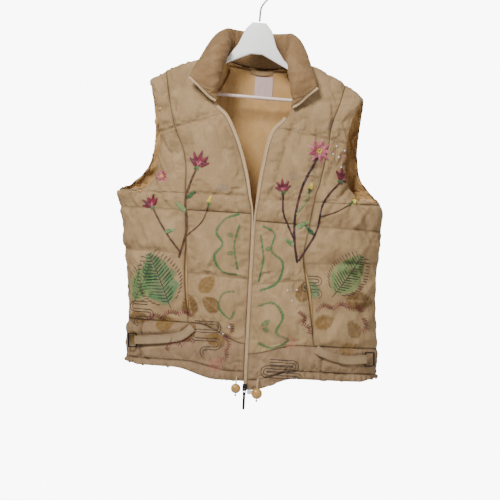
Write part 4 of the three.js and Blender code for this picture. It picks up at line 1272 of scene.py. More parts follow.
# ------------------------------------------------------------------ ground for sewing
class Ground:
    """The fronts' finished outside, for laying threads and stitches on."""

    def __init__(self, pieces: Sequence[bpy.types.Object]) -> None:
        """Gathers the pieces' skins in one tree."""
        points: list[Vector] = []
        faces: list[tuple[int, ...]] = []
        for piece in pieces:
            start = len(points)
            points.extend(v.co.copy() for v in piece.data.vertices)
            faces.extend(tuple(start + k for k in polygon.vertices) for polygon in piece.data.polygons)
        self.tree = BVHTree.FromPolygons(points, faces)

    def drop(self, x: float, z: float, lift: float) -> Vector | None:
        """The point in metres over the front at x, z, raised by lift."""
        hit, normal, _, _ = self.tree.ray_cast(Vector((x * MM, -0.4, z * MM)), Vector((0, 1, 0)))
        if hit is None:
            return None
        outward = normal if normal.y < 0 else -normal
        return hit + outward * lift * MM


@dataclass
class Strands:
    """Many short threads that make one piece, each a few points in metres."""

    name: str
    radius: float
    lines: list[list[Vector]] = field(default_factory=list)

    def lay(self, ground: Ground, path: Sequence[Sequence[float]], lift: float, arch: float) -> None:
        """Lays one thread on the ground along a path of x, z, a little higher at its middle."""
        count = len(path) - 1
        line = []
        for k, (x, z) in enumerate(path):
            rise = arch * math.sin(math.pi * k / count)
            sink = -0.5 if k in (0, count) else 0.0
            point = ground.drop(x, z, lift + rise + sink)
            if point is not None:
                line.append(point)
        if len(line) > 1 and max((b - a).length for a, b in zip(line, line[1:])) < 0.02:
            self.lines.append(line)

    def build(self, material: bpy.types.Material) -> None:
        """Makes the threads one mesh that rides on the vest."""
        ride(tube_piece(self.name, self.lines, self.radius, 0, material), "shell")


def curve_points(knots: Sequence[Sequence[float]], step: float) -> Array:
    """Evenly spaced points of a smooth line through knots, in x and z."""
    rows = np.array(knots, float)
    fine = spline(rows, np.linspace(0, len(rows) - 1, (len(rows) - 1) * 24 + 1))
    along = steps_along(fine)
    wanted = np.linspace(0, along[-1], max(2, round(along[-1] / step)) + 1)
    return np.stack([np.interp(wanted, along, fine[:, k]) for k in (0, 1)], 1)


class ThreadTone(Enum):
    """The embroidery's threads: dark and light colour of each."""

    BURGUNDY = ((84, 14, 32), (126, 34, 54))
    ROSE = ((158, 70, 88), (200, 120, 132))
    BROWN = ((66, 40, 22), (98, 66, 38))
    MAROON = ((36, 10, 12), (72, 28, 28))
    DARK = ((40, 32, 30), (66, 52, 44))
    GREEN = ((40, 74, 44), (72, 106, 60))
    LEAF = ((86, 118, 70), (126, 152, 96))
    YELLOW = ((190, 164, 44), (220, 198, 82))


class Embroidery:
    """Generic flowers, stems, leaves and wavy quilting lines, all of real threads."""

    def __init__(self, grounds: dict[Side, Ground]) -> None:
        """Starts with empty hanks of each thread."""
        self.grounds = grounds
        self.hanks = {tone: Strands(f"embroidery_{tone.name.lower()}", 0.75) for tone in ThreadTone}
        self.random = np.random.default_rng(7)

    def stitch(
        self, side: Side, tone: ThreadTone, path: Sequence[Sequence[float]], lift: float, arch: float,
    ) -> None:
        """Lays one stitch."""
        self.hanks[tone].lay(self.grounds[side], path, lift, arch)

    def running(
        self, side: Side, tone: ThreadTone, knots: Sequence[Sequence[float]], length: float = 4.6, gap: float = 0.5,
    ) -> None:
        """A line of close straight stitches."""
        points = curve_points(knots, length)
        for a, b in zip(points[:-1], points[1:]):
            way = (b - a) * (1 - gap / length)
            self.stitch(side, tone, (a, a + way / 2, a + way), 0.45, 0.2)

    def stem(
        self, side: Side, knots: Sequence[Sequence[float]], tone: ThreadTone = ThreadTone.BROWN, rows: int = 4,
    ) -> None:
        """A stem of slanting stitches that overlap, some rows wide."""
        points = curve_points(knots, 3.0)
        for row in range(rows):
            offset = (row - (rows - 1) / 2) * 1.05
            for a, b in zip(points[:-2], points[2:]):
                way = b - a
                across = np.array([-way[1], way[0]]) / max(float(np.hypot(*way)), 1e-6)
                start, end = a + across * (offset - 0.35), b + across * (offset + 0.35)
                self.stitch(side, tone, (start, (start + end) / 2, end), 0.5, 0.35)

    def petal(
        self, side: Side, tone: ThreadTone, root: Array, angle: float, length: float, width: float,
    ) -> None:
        """A petal or small leaf of satin stitch that fans out from its root."""
        way = np.array([math.sin(angle), math.cos(angle)])
        across = np.array([way[1], -way[0]])
        count = max(3, round(width / 0.95))
        for k in range(count):
            q = (k + 0.5) / count * 2 - 1
            reach = length * math.sqrt(max(0.05, 1 - (q * 0.92) ** 2))
            reach = reach * self.random.uniform(0.94, 1.03)
            start = root + across * q * width * 0.16
            middle = root + way * reach * 0.55 + across * q * width * 0.5
            end = root + way * reach + across * q * width * 0.34
            self.stitch(side, tone, (start, middle, end), 0.6, 1.0)

    def bell(self, side: Side, x: float, z: float, lean: float, size: float) -> None:
        """A cup-shaped flower: five petals over a green calyx."""
        root = np.array([x, z])
        for turn, tall in ((-62, 0.8), (-33, 0.95), (0, 1.05), (33, 0.95), (62, 0.8)):
            self.petal(side, ThreadTone.BURGUNDY, root, math.radians(lean + turn), size * tall, size * 0.34)
        for turn in (-24, 24):
            self.petal(side, ThreadTone.ROSE, root, math.radians(lean + turn), size * 0.5, size * 0.12)
        for turn in (150, 180, 210):
            self.petal(side, ThreadTone.GREEN, root, math.radians(lean + turn), size * 0.34, size * 0.16)

    def daisy(self, side: Side, x: float, z: float, size: float) -> None:
        """A round flower of nine narrow petals about a yellow middle."""
        centre = np.array([x, z])
        rings = ((9, 0.3, 0.2, ThreadTone.ROSE, 0.8, 0.3), (7, 0, 0.08, ThreadTone.YELLOW, 0.16, 0.1))
        for petals, shift, inner, tone, long, wide in rings:
            for k in range(petals):
                angle = 2 * math.pi * (k + shift) / petals
                root = centre + np.array([math.sin(angle), math.cos(angle)]) * size * inner
                self.petal(side, tone, root, angle, size * long, size * wide)

    def bud(self, side: Side, x: float, z: float, lean: float, size: float) -> None:
        """A closed yellow bud in a green cup."""
        root = np.array([x, z])
        self.petal(side, ThreadTone.YELLOW, root, math.radians(lean), size, size * 0.5)
        for turn in (-30, 30, 180):
            self.petal(side, ThreadTone.GREEN, root, math.radians(lean + turn), size * 0.4, size * 0.2)

    def feathered(self, side: Side, leaf: LeafPrint, tone: ThreadTone, steps: int) -> None:
        """A rib and slanting veins sewn over a painted leaf, with short spikes round its edge."""
        a = math.radians(leaf.lean)
        way = np.array([math.sin(a), math.cos(a)])
        across = np.array([way[1], -way[0]])
        root = np.array([leaf.x, leaf.z])
        tip = root + way * leaf.length * 0.96
        self.running(side, tone, (root - way * 8, (root + tip) / 2 + across * 2, tip))
        for k in range(1, steps):
            p = k / steps
            wide = leaf.width / 2 * math.sin(math.pi * p**0.8) ** 0.75
            for hand in (-1, 1):
                start = root + way * leaf.length * p
                end = start + across * hand * wide * 0.72 + way * wide * 0.34
                self.stitch(side, tone, (start, (start + end) / 2, end), 0.5, 0.3)
                edge = start + across * hand * wide
                spike = edge + across * hand * 8 + way * 4
                self.stitch(side, tone, (edge, (edge + spike) / 2, spike), 0.5, 0.2)

    def whipped(
        self, side: Side, knots: Sequence[Sequence[float]], tone: ThreadTone, length: float,
    ) -> None:
        """Slanting stitches across a line."""
        points = curve_points(knots, 4.4)
        for a, b in zip(points[:-1], points[1:]):
            way = (b - a) / max(float(np.hypot(*(b - a))), 1e-6)
            across = np.array([-way[1], way[0]])
            reach = length * self.random.uniform(0.88, 1.08)
            start, end = a - across * reach / 2 - way, a + across * reach / 2 + way
            self.stitch(side, tone, (start, a, end), 0.5, 0.6)

    def serpent(
        self, side: Side, start: tuple[float, float], runs: Sequence[float], drop: float, lines: int,
    ) -> None:
        """Rows of quilting stitch side by side, winding down in level runs and round turns.

        Args:
            side: the front.
            start: where the first run begins, in x and z.
            runs: the runs' lengths, a negative one first to the wearer's right.
            drop: how far each turn falls.
            lines: how many rows of stitch.
        """
        x, z = start
        path = [(x, z)]
        for run in runs:
            hand = 1 if run > 0 else -1
            path += [(x + run / 2, z), (x + run, z)]
            x += run
            for turn in np.radians(np.arange(30, 181, 30)):
                path.append((x + hand * math.sin(turn) * drop / 2, z - (1 - math.cos(turn)) * drop / 2))
            z -= drop
        centre = curve_points(path, 2.0)
        along = unit(np.gradient(centre, axis=0))
        across = np.stack([-along[:, 1], along[:, 0]], 1)
        for row in range(lines):
            beside = centre + across * (row - (lines - 1) / 2) * 5.4
            self.running(side, ThreadTone.DARK, beside[::3], 4.2, 0.3)

    def scallops(self, side: Side, start: tuple[float, float], *steps: tuple[float, float]) -> None:
        """Whipped burgundy arcs end to end, each given by its chord."""
        x, z = start
        for dx, dz in steps:
            top = (x + dx / 2 - dz * 0.3, z + dz / 2 + dx * 0.3)
            self.whipped(side, ((x, z), top, (x + dx, z + dz)), ThreadTone.BURGUNDY, 9.0)
            x, z = x + dx, z + dz

    def sew_right(self) -> None:
        """Sews the right front: three cups on a forked stem over two painted leaves."""
        side = Side.RIGHT
        self.stem(side, [(-136, -572), (-122, -510), (-128, -450), (-108, -388)])
        self.bell(side, -107, -384, 14, 31)
        self.petal(side, ThreadTone.LEAF, np.array([-126, -478]), math.radians(-52), 30, 10)
        self.petal(side, ThreadTone.GREEN, np.array([-127, -452]), math.radians(50), 26, 9)
        self.stem(side, [(-134, -560), (-166, -520), (-196, -474)], rows=3)
        self.bell(side, -198, -470, -28, 26)
        self.petal(side, ThreadTone.LEAF, np.array([-168, -522]), math.radians(72), 24, 8)
        self.stem(side, [(-126, -530), (-92, -498), (-80, -462)], rows=2)
        self.bud(side, -80, -462, 12, 20)
        self.daisy(side, -182, -408, 14)
        self.feathered(side, PRINTS[side][0], ThreadTone.DARK, 17)
        self.feathered(side, PRINTS[side][1], ThreadTone.GREEN, 13)
        self.serpent(side, (-96, -700), (44, -38, 40, -20), 17, 2)
        self.serpent(side, (-196, -668), (-30, 34, -22), 15, 2)
        self.scallops(side, (-20, -700), (-14, -26), (6, -26), (-12, -24))
        self.scallops(side, (-196, -704), (34, 8), (32, 10), (30, -6))
        self.scallops(side, (-150, -758), (30, 10), (30, 6))

    def sew_left(self) -> None:
        """Sews the left front: a round flower, cups and buds on thin stems."""
        side = Side.LEFT
        self.stem(side, [(106, -570), (96, -500), (106, -424), (134, -356)], tone=ThreadTone.MAROON)
        self.daisy(side, 137, -342, 26)
        self.stem(side, [(108, -566), (140, -506), (152, -446), (182, -402)], rows=3, tone=ThreadTone.MAROON)
        self.bell(side, 184, -398, 30, 27)
        self.stem(side, [(98, -524), (74, -474), (70, -430)], rows=3, tone=ThreadTone.MAROON)
        self.bell(side, 70, -426, -8, 24)
        self.stem(side, [(148, -474), (178, -464), (206, -446)], rows=2)
        self.bud(side, 207, -445, 44, 20)
        self.stem(side, [(98, -474), (116, -448), (122, -424)], rows=2, tone=ThreadTone.LEAF)
        self.bud(side, 122, -424, 14, 18)
        self.petal(side, ThreadTone.LEAF, np.array([98, -500]), math.radians(62), 30, 10)
        self.petal(side, ThreadTone.GREEN, np.array([136, -512]), math.radians(-46), 26, 9)
        self.petal(side, ThreadTone.LEAF, np.array([100, -536]), math.radians(-60), 26, 9)
        self.feathered(side, PRINTS[side][0], ThreadTone.DARK, 17)
        self.serpent(side, (62, -772), (46, -52, 60), 13, 3)
        self.serpent(side, (122, -598), (26, -22, 24), 13, 2)
        self.scallops(side, (116, -668), (8, -24), (14, -22))
        self.scallops(side, (150, -664), (32, 6), (32, 2), (28, -8))
        self.scallops(side, (244, -676), (-4, -26))
        self.whipped(side, [(206, -372), (196, -350), (178, -352)], ThreadTone.ROSE, 6)

    def sew(self) -> None:
        """Sews both fronts and makes each thread's piece."""
        self.sew_right()
        self.sew_left()
        for tone, hank in self.hanks.items():
            hank.build(Thread(f"thread_{tone.name.lower()}", *tone.value).material())


@dataclass
class Sequins:
    """A few small cupped discs sewn on the left chest and by the zip."""

    radius: float = 1.7
    places: tuple[tuple[float, float], ...] = (
        (176, -352), (186, -338), (192, -360), (170, -330), (200, -344), (182, -372), (164, -346),
        (100, -646), (90, -626), (108, -624), (-36, -720), (-24, -706),
    )

    def build(self, grounds: dict[Side, Ground], material: bpy.types.Material) -> None:
        """Makes the discs one piece."""
        bm = bmesh.new()
        for x, z in self.places:
            at = grounds[Side.LEFT if x > 0 else Side.RIGHT].drop(x, z, 0.45)
            if at is None:
                continue
            turn = Matrix.Rotation(math.radians(90 + (x * 7 + z * 3) % 19 - 9), 4, "X")
            flat = Matrix.Diagonal((1, 1, 0.22, 1))
            bmesh.ops.create_uvsphere(
                bm, u_segments=14, v_segments=7, radius=self.radius * MM, matrix=Matrix.Translation(at) @ turn @ flat,
            )
        ride(new_object("sequins", to_mesh(bm, "sequins"), [material]), "zip_box")


# ------------------------------------------------------------------ zip
@dataclass
class Zip:
    """The zip: its two tapes in the fronts and two in the collar, with their teeth."""

    clear: float = 0.8
    lap: float = 1.0
    meet: float = 0.6
    closed_width: float = 2.2
    open_width: float = 5.0
    below: float = 1.0
    thickness: float = 1.5
    pitch: float = 2.5
    tooth: tuple[float, float, float] = (2.1, 1.35, 2.0)
    feet: tuple[float, float] = (HEM - 0.6, HEM + 0.1)

    def width(self, v: Array) -> Array:
        """How far a tape shows past its front at row v."""
        return mix(self.closed_width, self.open_width, smooth(v, CHEST, UNDERARM + 1))

    @staticmethod
    def away(at: Callable[[Array], Array], within: Callable[[Array], Array], t: Array) -> Array:
        """The direction that leaves a surface squarely at its edge."""
        along = unit(at(t + 0.01) - at(t - 0.01))
        out = at(t) - within(t)
        return unit(out - along * (out * along).sum(-1, keepdims=True))

    def build(self, finishes: Wardrobe) -> None:
        """Makes the tapes and teeth of both sides."""
        collar = CollarShell()
        for side in Side:
            shell = FrontShell(side)
            foot = self.feet[0] if side is Side.RIGHT else self.feet[1]
            edge = lambda v, shell=shell: shell.point(np.zeros_like(v), v)
            inside = lambda v, shell=shell: shell.point(np.full_like(v, 0.02), v)
            v = np.linspace(foot, NECK_CORNER - 0.06, 270)
            away = self.away(edge, inside, v)
            holder = f"front_{side.word}_centre_upper"
            lift = -self.below - self.thickness / 2
            self.tape(f"zip_tape_{side.word}", edge(v), away, self.width(v), lift, holder, finishes)
            self.teeth(f"zip_teeth_{side.word}", edge(v), away, self.width(v), -self.below, side, finishes)
            end = 0.0 if side is Side.RIGHT else 1.0
            near = 0.02 if side is Side.RIGHT else 0.98
            rim = lambda w, end=end: collar.point(np.full_like(w, end), w)
            within = lambda w, near=near: collar.point(np.full_like(w, near), w)
            w = np.linspace(0.03, 0.96, 60)
            out = self.away(rim, within, w)
            wide = np.full_like(w, self.open_width - self.clear)
            self.tape(f"zip_tape_collar_{side.word}", rim(w), out, wide, 0.0, "collar", finishes)
            self.teeth(f"zip_teeth_collar_{side.word}", rim(w), out, wide, 0.9, side, finishes)

    def tape(
        self, node: str, edge: Array, away: Array, width: Array, lift: float, holder: str, finishes: Wardrobe,
    ) -> None:
        """One woven tape beside an edge."""
        normal = np.cross(away, unit(np.gradient(edge, axis=0)))
        normal *= -np.sign(normal[:, 1:2])
        start, wide = self.clear - self.lap, width + self.lap + self.meet
        outs = [away * (start + wide * s)[:, None] for s in np.linspace(0, 1, 7)]
        points = np.stack([edge + out + normal * lift for out in outs], 1)
        piece = new_object(node + "_weave", grid_mesh(node, points, OUT_FRONT), [finishes.tape])
        solid = piece.modifiers.new("Thickness", "SOLIDIFY")
        solid.thickness = self.thickness * MM
        solid.offset = 0
        length = float(steps_along(points[:, 3])[-1]) * MM
        lattice_area(points)
        ride(piece, "zip_tape", node)

    def teeth(
        self, name: str, edge: Array, away: Array, width: Array, lift: float, side: Side, finishes: Wardrobe,
    ) -> None:
        """The moulded teeth along a tape's free edge."""
        steps = steps_along(edge)
        offset = 0.0 if side is Side.RIGHT else self.pitch / 2
        wanted = np.arange(self.pitch + offset, steps[-1] - 1, self.pitch)
        at = lambda rows: np.stack([np.interp(wanted, steps, rows[:, k]) for k in range(3)], 1)
        places, ways, ups = at(edge), at(away), at(unit(np.gradient(edge, axis=0)))
        wide = np.interp(wanted, steps, width)
        bm = bmesh.new()
        for place, way, up, reach in zip(places, ways, ups, wide):
            normal = np.cross(way, up)
            normal *= -np.sign(normal[1])
            centre = place + way * (self.clear + reach - 0.35) + normal * lift
            basis = Matrix((way * self.tooth[0], up * self.tooth[1], normal * self.tooth[2])).transposed()
            matrix = Matrix.Translation(Vector(centre) * MM) @ (basis * MM).to_4x4()
            bmesh.ops.create_cube(bm, size=1.0, matrix=matrix)
        bmesh.ops.bevel(
            bm, geom=bm.edges[:], offset=0.22 * MM, affect="EDGES", segments=1, profile=0.5, material=-1,
        )
        bmesh.ops.recalc_face_normals(bm, faces=bm.faces[:])
        ride(new_object(name, to_mesh(bm, name), [finishes.zip_teeth]), "zip_tape")


# ------------------------------------------------------------------ collar, lining, trim
@dataclass
class Collar:
    """The tall collar, a closed padded band whose front corners fold outwards."""

    half: float = 3.4
    edge_half: float = 2.0
    puff: float = 2.2
    sunk: float = 1.8
    lap: float = 0.9
    around: float = 520.0
    tall: float = 75.0
    columns: int = 300
    rows: int = 44

    def build(self, finishes: Wardrobe) -> bpy.types.Object:
        """Makes the collar."""
        shell = CollarShell()
        even = np.linspace(0, 1, self.columns + 1)
        u_line = mix(even, 0.5 - 0.5 * np.cos(np.pi * even), 0.35)
        loop = np.concatenate([[0], np.linspace(0, 2, 2 * self.rows + 1), [2]])
        u, q = np.meshgrid(u_line, loop)
        w = np.where(q <= 1, q, 2 - q)
        hand = np.where(q <= 1, 1.0, -1.0)
        mid = shell.point(u, w)
        normal = facing_normals(shell.point, u, w, OUT_BACK)
        ends = np.minimum(1, 10 * np.minimum(u, 1 - u))
        thick = mix(self.half + self.puff * puff_curve(w) * ends, self.edge_half, smooth(w, 0.85, 1))
        top = np.clip((w - 0.955) / 0.045, 0, 1)
        tip = np.clip((0.008 - np.minimum(u, 1 - u)) / 0.008, 0, 1)
        for share in (top, tip):
            thick = thick * np.sqrt(np.maximum(0, 1 - share**2))
        thick[[0, -1]] = 0
        along = np.minimum(u, 1 - u) * self.around
        high = w * self.tall
        calm = smooth(along, 0, 12) * smooth(w, 0.0, 0.12) * smooth(1 - w, 0.0, 0.1)
        slant = np.where(u < 0.5, 1.0, -1.0)
        crease = noise((along + high * 1.4) / 17 + slant * 5, (high - along * 0.6) / 44 + 9, 31)
        crease += 0.6 * noise((along + high * 1.1) / 8 + 50, (high - along * 0.5) / 27, 32)
        ridge = 2.6 * (1 - np.abs(crease)) ** 2 - 1.1
        thick = thick + calm * (ridge + 0.8 * noise(along / 9, high / 30, 33))
        points = mid + normal * (hand * thick)[..., None]
        seam = shell.point(u, np.zeros_like(w))
        right, left = BACK_ROWS["right_x"][-1], BACK_ROWS["left_x"][-1]
        rim = BackShell().point((seam[..., 0] - right) / (left - right), float(SHOULDER))[..., 2]
        reach = np.clip(seam[..., 2] - rim + self.lap, self.sunk, 6)
        sunk = mix(self.sunk, reach, smooth(seam[..., 1], 0, 14))
        points[..., 2] -= sunk * (1 - smooth(w, 0, 0.14))
        mesh = grid_mesh("collar", points)
        # Painted shade at the neck seam and along the sewn top edge.
        sewn = np.exp(-high / 2.2) + 0.8 * np.exp(-(1 - w) * self.tall / 1.6)
        paint_attribute(mesh, "Seam", np.clip(sewn, 0, 1)[..., None])
        bm = bmesh.new()
        bm.from_mesh(mesh)
        bmesh.ops.remove_doubles(bm, verts=bm.verts[:], dist=0.01 * MM)
        bmesh.ops.recalc_face_normals(bm, faces=bm.faces[:])
        bm.to_mesh(mesh)
        bm.free()
        piece = new_object("collar_padded", mesh, [finishes.collar])
        return ride(piece, "shell", "collar")


@dataclass
class NeckTrim:
    """What shows inside: the satin lining, the bare label and the hanging loop."""

    behind: float = PADDED_WALL + 3.8
    lining_thickness: float = 1.4

    def patch(self, x1: float, x2: float, rows: tuple[float, float], depth: float, counts: tuple[int, int]) -> Array:
        """A lattice inside the back, from x1 to x2 and between two rows."""
        shell = BackShell()

        def surface(s: Array, t: Array) -> Array:
            v = mix(rows[0], rows[1], t)
            right, left = spline(BACK_ROWS["right_x"], v), spline(BACK_ROWS["left_x"], v)
            return shell.point((mix(x1, x2, s) - right) / (left - right), v)

        s, t = shares(*counts)
        return surface(s, t) - facing_normals(surface, s, t, OUT_BACK) * depth

    def build(self, finishes: Wardrobe) -> None:
        """Makes the three pieces."""
        shell = BackShell()

        def lining(s: Array, t: Array) -> Array:
            v = mix(4.5, 13.0, t)
            half = mix(0.4, 0.14, smooth(v, 8, 12.4))
            return shell.point(0.5 + mix(-half, half, s), v)

        s, t = shares(180, 150)
        normal = facing_normals(lining, s, t, OUT_BACK)
        base = lining(s, t)
        x, z = base[..., 0], base[..., 2]
        edge = smooth(np.minimum(s, 1 - s), 0, 0.06) * smooth(np.minimum(t, 1 - t), 0, 0.04)
        folds = 1.3 * noise(x / 24 + 2, z / 150, 41) + 0.7 * noise(x / 10, z / 60 + 4, 42)
        points = base - normal * (self.behind + 0.9 + edge * (1 + folds))[..., None]
        piece = new_object("back_lining_satin", grid_mesh("back_lining", points, OUT_FRONT), [finishes.lining])
        thicken(piece, 0.8)
        ride(piece, "lining", "back_lining")
        depth = self.behind + self.lining_thickness + 1.4
        label = self.patch(-10.6, 27.5, (11, 12.2), depth, (38, 46))
        ripple = noise(label[..., 0] / 9, label[..., 2] / 13, 44)
        label[..., 1] -= 0.5 + 0.5 * ripple
        label[..., 2] += 4.0
        piece = new_object("neck_label_woven", grid_mesh("neck_label", label, OUT_FRONT), [finishes.label])
        thicken(piece, 0.5)
        ride(piece, "label", "neck_label")
        loop = self.patch(-22, 28, (12.38, 12.9), depth - 0.2, (60, 8))
        s, t = shares(60, 8)
        droop = np.sin(np.pi * s)
        loop[..., 2] += 5.0 - 3.0 * droop * (1 - 0.4 * t)
        loop[..., 1] -= 0.6 + 2.4 * droop * (1 - t) + 0.5 * noise(loop[..., 0] / 8, t * 3, 45)
        piece = new_object("hanging_loop_tape", grid_mesh("hanging_loop", loop, OUT_FRONT), [finishes.plain])
        thicken(piece, 1.0)
        lattice_area(loop)
        ride(piece, "shell", "hanging_loop")


@dataclass
class PocketFacings:
    """The satin strip that shows in each pocket's mouth."""

    half_width: float = 12.0
    behind: float = PADDED_WALL + 0.6

    def build(self, finishes: Wardrobe) -> None:
        """Makes both."""
        for side in Side:
            shell = FrontShell(side)
            low, high = POCKETS[side]
            half = self.half_width / PANEL_WIDTH

            def surface(s: Array, t: Array) -> Array:
                v = mix(low, high, t)
                return shell.point(shell.seam(v) + mix(-half, half, s), v)

            s, t = shares(12, 90)
            normal = facing_normals(surface, s, t, OUT_FRONT)
            wave = 0.3 * noise(t * 20, s * 2, 50)
            points = surface(s, t) - normal * (self.behind + 0.1 + wave)[..., None]
            node = f"pocket_facing_{side.word}"
            piece = new_object(node + "_satin", grid_mesh(node, points, OUT_FRONT), [finishes.lining])
            thicken(piece, 0.9)
            flat = (2 * self.half_width * MM, float(steps_along(points[:, 6])[-1]) * MM)
            ride(piece, "lining", node)


# ------------------------------------------------------------------ straps and rings
@dataclass
class Strap:
    """A side strap: out to its ring, round the ring's bar and back as a round-ended tab."""

    side: Side
    half: float = STRAP_HALF
    thickness: float = 2.2
    clear: float = 0.5
    layer: float = 0.5
    round: float = 0.9
    outer_lift: float = 5.0
    tab_share: float = 0.5
    ring_wire: float = 2.4
    stitched: tuple[int, int] = (1, 14)

    def frame(self, share: Array) -> tuple[Array, Array, Array, Array]:
        """Points, and the along, up and outward directions, at shares of the strap's length."""
        path, shell = STRAP_PATHS[self.side], FrontShell(self.side)

        def at(k: Array) -> Array:
            place = k * (len(path["u"]) - 1)
            return shell.point(spline(path["u"], place), spline(path["v"], place))

        along = unit(at(share + 0.01) - at(share - 0.01))
        normal = unit(np.cross(along, np.array([0.0, 0.0, 1.0])))
        normal = np.where(normal[:, 1:2] > 0, -normal, normal)
        up = np.cross(normal, along)
        up = np.where(up[:, 2:3] < 0, -up, up)
        return at(share), along, up, normal

    def centreline(self) -> tuple[Array, Array, Array]:
        """The strap's middle line, its up directions and its half widths."""
        bar = self.ring_wire / 2 + self.thickness / 2 + self.round
        base = self.outer_lift + self.clear + self.thickness / 2
        share = np.linspace(0, 1, 70)
        place, along, up, normal = self.frame(share)
        lift = base - 3 * (1 - smooth(share, 0, 0.12))
        out = place + normal * lift[:, None]
        end = [part[-1] for part in (place, along, up, normal)]
        angle = np.linspace(0, np.pi, 20)[1:-1]
        turn = end[0] + np.outer(bar * np.sin(angle), end[1])
        turn = turn + np.outer(base + bar * (1 - np.cos(angle)), end[3])
        back = np.linspace(0, 1, 44)
        tab_place, _, tab_up, tab_normal = self.frame(1 - self.tab_share * back)
        settle = smooth(back, 0, 0.6)
        tab = tab_place + tab_normal * (base + mix(2 * bar, self.thickness + self.layer, settle))[:, None]
        tip = np.clip((back - 0.86) / 0.14, 0, 1)
        half = self.half * np.sqrt(np.maximum(1 - tip**2, 0.02))
        ups = np.concatenate([up, np.ones(len(turn))[:, None] * end[2], tab_up])
        halves = np.concatenate([np.full(len(out) + len(turn), self.half), half])
        return np.concatenate([out, turn, tab]), ups, halves

    def build(self, finishes: Wardrobe, stitches: Strands) -> None:
        """Makes the strap with its edge stitching."""
        line, ups, halves = self.centreline()
        face = unit(np.cross(unit(np.gradient(line, axis=0)), ups))
        if face[0, 1] > 0:
            face = -face
        q = np.linspace(-1, 1, 17)
        pillow = 0.35 * (1 - q**8) - 0.45 * np.exp(-(((np.abs(q) - 0.82) / 0.06) ** 2))
        step = np.arange(len(line))
        sag = 0.35 * noise(step[:, None] / 9.0, q[None] * 1.5, 60)
        rows = line[:, None] + ups[:, None] * (halves[:, None] * q)[..., None]
        points = rows + face[:, None] * (self.thickness / 2 - 0.35 + pillow + sag)[..., None]
        node = f"side_strap_{self.side.word}"
        piece = new_object(node + "_webbing", grid_mesh(node, points), [finishes.strap])
        normal = np.cross(points[1, 0] - points[0, 0], points[0, 1] - points[0, 0])
        if float(normal @ face[0]) > 0:
            piece.data.flip_normals()
        # Painted shade in the grooves beside the edge stitching.
        sewn = np.broadcast_to(0.55 * np.exp(-(((np.abs(q) - 0.82) / 0.07) ** 2)), rows.shape[:2])
        paint_attribute(piece.data, "Seam", sewn[..., None])
        thicken(piece, self.thickness - 0.5)
        flat = (2 * self.half * MM, float(steps_along(line)[-1]) * MM)
        ride(piece, "shell", node)
        for column in self.stitched:
            for k in range(2, len(line) - 4, 2):
                a, b = (points[j, column] + face[j] * 0.25 for j in (k, k + 1))
                stitches.lines.append([Vector(p) * MM for p in (a, (a + b) / 2 + face[k] * 0.15, b)])


# ------------------------------------------------------------------ small hard parts
def dressed_copy(node: str, name: str, bevel: float, material: bpy.types.Material) -> bpy.types.Object:
    """A copy of a frame node with its corners softened.

    Args:
        node: the node's name.
        name: the new piece's name.
        bevel: how far its edges are rounded.
        material: its finish.

    Returns:
        The new object, not yet riding.
    """
    bm = bmesh.new()
    bm.from_mesh(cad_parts[node].data)
    bmesh.ops.remove_doubles(bm, verts=bm.verts[:], dist=0.01 * MM)
    bmesh.ops.dissolve_limit(bm, angle_limit=math.radians(3), verts=bm.verts[:], edges=bm.edges[:])
    sharp = [e for e in bm.edges if e.is_manifold and e.calc_face_angle(0) > math.radians(35)]
    bmesh.ops.bevel(
        bm, geom=sharp, offset=bevel * MM, affect="EDGES", segments=3, profile=0.5, material=-1,
        clamp_overlap=True,
    )
    bmesh.ops.recalc_face_normals(bm, faces=bm.faces[:])
    return new_object(name, to_mesh(bm, name), [material])


